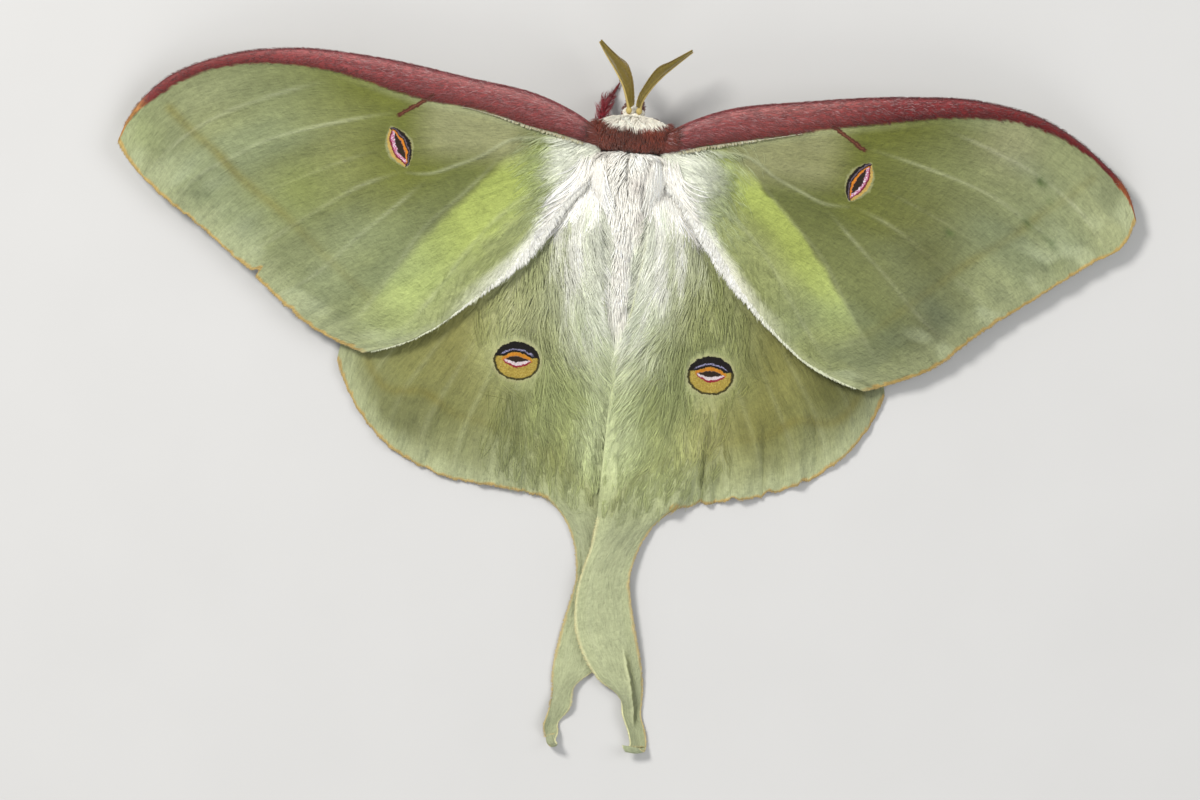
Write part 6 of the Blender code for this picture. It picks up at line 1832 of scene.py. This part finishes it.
    # rosy scales on the front edge, and the pale teeth behind it near the base
    weight = (w["q"] < 0.97) * (0.4 + 0.6 * smooth(w["t"], 0.9, 0.4)) * smooth(X, 3.0, 4.2)
    p, n, s, t, base, q = sample_cells(w, 3400, weight, r)
    lay = np.stack([side * np.ones(len(p)), 0.25 - 0.7 * q + 0.3 * noise(p[:, 0] * 2, p[:, 1] * 3, 66), np.zeros(len(p))], 1)
    size = np.interp(np.abs(p[:, 0]), [3, 20, 50], [0.95, 0.6, 0.35]) * r.uniform(0.6, 1.2, len(p))
    paths = grow(p, n, lay, size, 4, 0.09 * r.uniform(0.3, 1.3, len(p)), r, 0.03, 0.25)
    paths, near = gather(paths, p, 500, 0.35, r)
    frost = (r.random(len(p)) < 0.22) * smooth(q, 0.85, 0.25) * smooth(np.abs(p[:, 0]), 46, 25)
    colour = tone(mix(base, rgb(200, 160, 160), 0.6 * frost), near, r, 0.12, 0.12)
    coat(f"coat_costa_{word}", paths, taper(0.030 * r.uniform(0.7, 1.3, len(p)), 4, 0.6), n, shaded(colour, 4, 0.8, 1.1), p[:, :2], "maroon", "maroon_fur")

    # the same scales on the front and underside of that edge
    below = dict(w, top=w["low"], n=w["low_n"])
    p, n, s, t, base, q = sample_cells(below, 1500, weight * (0.5 + 0.5 * smooth(w["q"], 0.7, 0.2)) * (X < 47), r)
    count = 1800
    f = r.random(count) ** 1.2 * 0.93
    part = r.random(count)
    col = np.clip((f * (w["top"].shape[1] - 1)).astype(int), 0, w["top"].shape[1] - 2)
    level = r.random(count)[:, None]
    front = w["top"][0, col] * (1 - level) + w["low"][0, col] * level
    after = w["top"][0, col + 1] * (1 - level) + w["low"][0, col + 1] * level
    front = mix(front, after, part)
    thick = np.linalg.norm(w["top"][0, col] - w["low"][0, col], axis=1)
    ahead = unit(np.stack([0 * f, np.ones(count), 1.2 * (0.5 - level[:, 0])], 1))
    front = front + np.array((0, 1.0, 0)) * (0.3 * np.maximum(thick - MEMBRANE, 0) * (1 - np.abs(2 * level[:, 0] - 1)))[:, None]
    front = front + ahead * 0.10
    keep = np.abs(front[:, 0]) > 3.4
    front, ahead, col, level = front[keep], ahead[keep], col[keep], level[keep]
    p, n = np.concatenate([p, front]), np.concatenate([n, ahead])
    # darker on the underside, and lower down the front edge: painted shade
    base = np.concatenate([base * 0.78, w["colour"][0, col] * mix(0.95, 0.75, level)])
    along = unit(w["top"][0, np.minimum(col + 2, w["top"].shape[1] - 1)] - w["top"][0, np.maximum(col - 2, 0)])
    straight = np.concatenate([np.tile((float(side), 0.0, 0.0), (len(p) - len(front), 1)), along])
    lay = straight + np.stack([0 * p[:, 0], 0.15 * noise(p[:, 0] * 2, p[:, 1] * 3, 67), 0.15 * noise(p[:, 0] * 2.4, p[:, 2] * 3, 68)], 1)
    size = np.interp(np.abs(p[:, 0]), [3, 20, 50], [0.95, 0.6, 0.25]) * r.uniform(0.6, 1.2, len(p))
    paths = grow(p, n, lay, size, 4, np.interp(np.abs(p[:, 0]), [3, 40, 50], [0.10, 0.07, 0.04]) * r.uniform(0.3, 1.3, len(p)), r, 0.05, 0.18)
    paths, near = gather(paths, p, 420, 0.35, r)
    colour = tone(base, near, r, 0.12, 0.12)
    coat(f"coat_costa_under_{word}", paths, taper(0.034 * r.uniform(0.7, 1.3, len(p)), 4, 0.6), n, shaded(colour, 4, 0.8, 1.1), p[:, :2], "maroon", "maroon_fur")

    count = 700
    f = np.sort(r.random(count)) * 0.24 + 0.035
    line = np.array(FORE[side]["lead"])
    at = spline(line, f)
    teeth = np.floor(f * 190) / 190
    low = np.array(BAND_LOW[side])
    at[:, 1] = np.interp(np.abs(at[:, 0]), low[:, 0], low[:, 1]) - 0.02
    at[:, 2] = height_at(H_ALL, at[:, 0], at[:, 1] - 0.25) + 0.12
    lay = np.stack([side * (0.35 + 0.5 * noise(teeth * 600, 0.5, 12)), -np.ones(count), np.full(count, -0.05)], 1)
    size = 0.46 * smooth(f, 0.27, 0.10) * (0.35 + 0.8 * (0.5 + 0.5 * noise(f * 260, 1.5, 13))) + 0.08
    paths = grow(at, up[:count], lay, size, 4, 0.12 * np.ones(count), r, 0.05, 0.08)
    paths, near = gather(paths, at, 90, 0.7, r)
    colour = tone(mix(np.tile(rgb(150, 140, 98), (count, 1)), rgb(206, 208, 184), r.random(count) ** 1.5), near, r, 0.06, 0.05)
    coat(f"coat_teeth_{word}", paths, taper(0.036 * r.uniform(0.8, 1.25, count), 4, 0.6), up[:count], shaded(colour, 4, 0.85), at[:, :2], "white", "white_fur")

    # the short fringe of scales round every free edge
    for kind in ("fore", "hind"):
        w = WINGS[kind, side]
        top, n0 = w["top"], w["n"]
        if kind == "fore":
            edge = top[:, -1]
            inner = top[:, -4]
            base = w["colour"][:, -1]
        else:
            last = int(np.argmax(w["t"][0] >= 1.0))
            tail_row = int(np.argmax(w["s"][:, 0] >= TAIL_FROM))
            edge = np.concatenate([top[:tail_row, last], top[tail_row, last:-6], top[-1, last:-6][::-1]])
            inner = np.concatenate([top[:tail_row, last - 4], top[tail_row + 4, last:-6], top[-5, last:-6][::-1]])
            base = np.concatenate([w["colour"][:tail_row, last], w["colour"][tail_row, last:-6], w["colour"][-1, last:-6][::-1]])
        run = np.r_[0, np.cumsum(np.linalg.norm(np.diff(edge, axis=0), axis=1))]
        count = int(run[-1] * 26)
        f = np.sort(r.random(count)) * run[-1]
        at, back, c = (np.stack([np.interp(f, run, g[:, m]) for m in range(3)], 1) for g in (edge, inner, base))
        out = unit(at - back)
        d = unit(np.gradient(edge, axis=0))
        d = np.stack([np.interp(f, run, d[:, m]) for m in range(3)], 1)
        size = (0.24 + 0.10 * noise(f * 0.9, 0.5, 71)) * r.uniform(0.7, 1.2, count)
        lay = out + d * r.normal(0, 0.25, (count, 1))
        paths = grow(at - out * 0.06 - np.array((0, 0, 0.05)), up[0] * np.ones((count, 1)), lay, size, 3, 0.02 * np.ones(count), r, 0.02, 0.1)
        colour = mix(c, rgb(190, 168, 118), 0.30)
        colour = tone(colour, np.arange(count), r, 0.0, 0.10)
        coat(f"coat_edge_{kind}_{word}", paths, taper(0.034 * r.uniform(0.8, 1.25, count), 3, 0.8), up[0] * np.ones((count, 1)), colour, at[:, :2], "green", "wing_green")


# ------------------------------------------------------------------ floor, light and camera
def area(name, place_at, aim, size, power, tint=(1, 1, 1)):
    lamp = bpy.data.lights.new(name, "AREA")
    lamp.shape = "DISK"
    lamp.size = size
    lamp.energy = power
    lamp.color = tint
    obj = bpy.data.objects.new(name, lamp)
    obj.location = place_at
    obj.rotation_euler = (Vector(aim) - Vector(place_at)).to_track_quat("-Z", "Y").to_euler()
    bpy.context.scene.collection.objects.link(obj)


def set_stage():
    mat, tree, shader = material("floor_pale", rough=0.9, specular=0.1)
    coord = tree.nodes.new("ShaderNodeTexCoord").outputs["Object"]
    tone = Ex(tree, texture(tree, "ShaderNodeTexNoise", coord, 60.0, 3, 0.5).outputs["Fac"])
    colour = blend_colour(tree, (0.50, 0.497, 0.488), (0.53, 0.527, 0.518), tone)
    tree.links.new(colour, shader.inputs["Base Color"])
    size = 3.0
    mesh = bpy.data.meshes.new("floor")
    mesh.from_pydata([(-size, -size, 0), (size, -size, 0), (size, size, 0), (-size, size, 0)], [], [(0, 1, 2, 3)])
    mesh.materials.append(mat)
    floor = bpy.data.objects.new("floor", mesh)
    bpy.context.scene.collection.objects.link(floor)

    area("key", (-0.27, 0.24, 0.44), (0, -0.005, 0), 0.16, 3.0, (1.0, 0.98, 0.95))
    area("fill", (0.40, 0.10, 0.42), (0, 0, 0), 0.40, 1.2, (0.98, 0.99, 1.0))
    area("rim", (0.05, -0.45, 0.35), (0, 0, 0), 0.40, 0.8, (1.0, 1.0, 1.0))
    world = bpy.data.worlds.new("studio")
    world.use_nodes = True
    world.node_tree.nodes["Background"].inputs["Color"].default_value = (0.97, 0.98, 1.0, 1)
    world.node_tree.nodes["Background"].inputs["Strength"].default_value = 0.46
    bpy.context.scene.world = world
    bpy.context.scene.view_settings.view_transform = "Standard"
    bpy.context.scene.view_settings.look = "None"
    bpy.context.scene.view_settings.exposure = 0.0

    data = bpy.data.cameras.new("camera")
    data.sensor_width = 36.0
    data.lens = 36.0 * 0.60 / 0.1243
    data.clip_start = 0.01
    data.clip_end = 20.0
    cam = bpy.data.objects.new("camera", data)
    centre = place((-1.16, -28.13, 3.0))
    cam.location = (centre[0], centre[1], 0.603)
    cam.rotation_euler = (0, 0, math.radians(4.4))
    bpy.context.scene.collection.objects.link(cam)
    bpy.context.scene.camera = cam


set_stage()
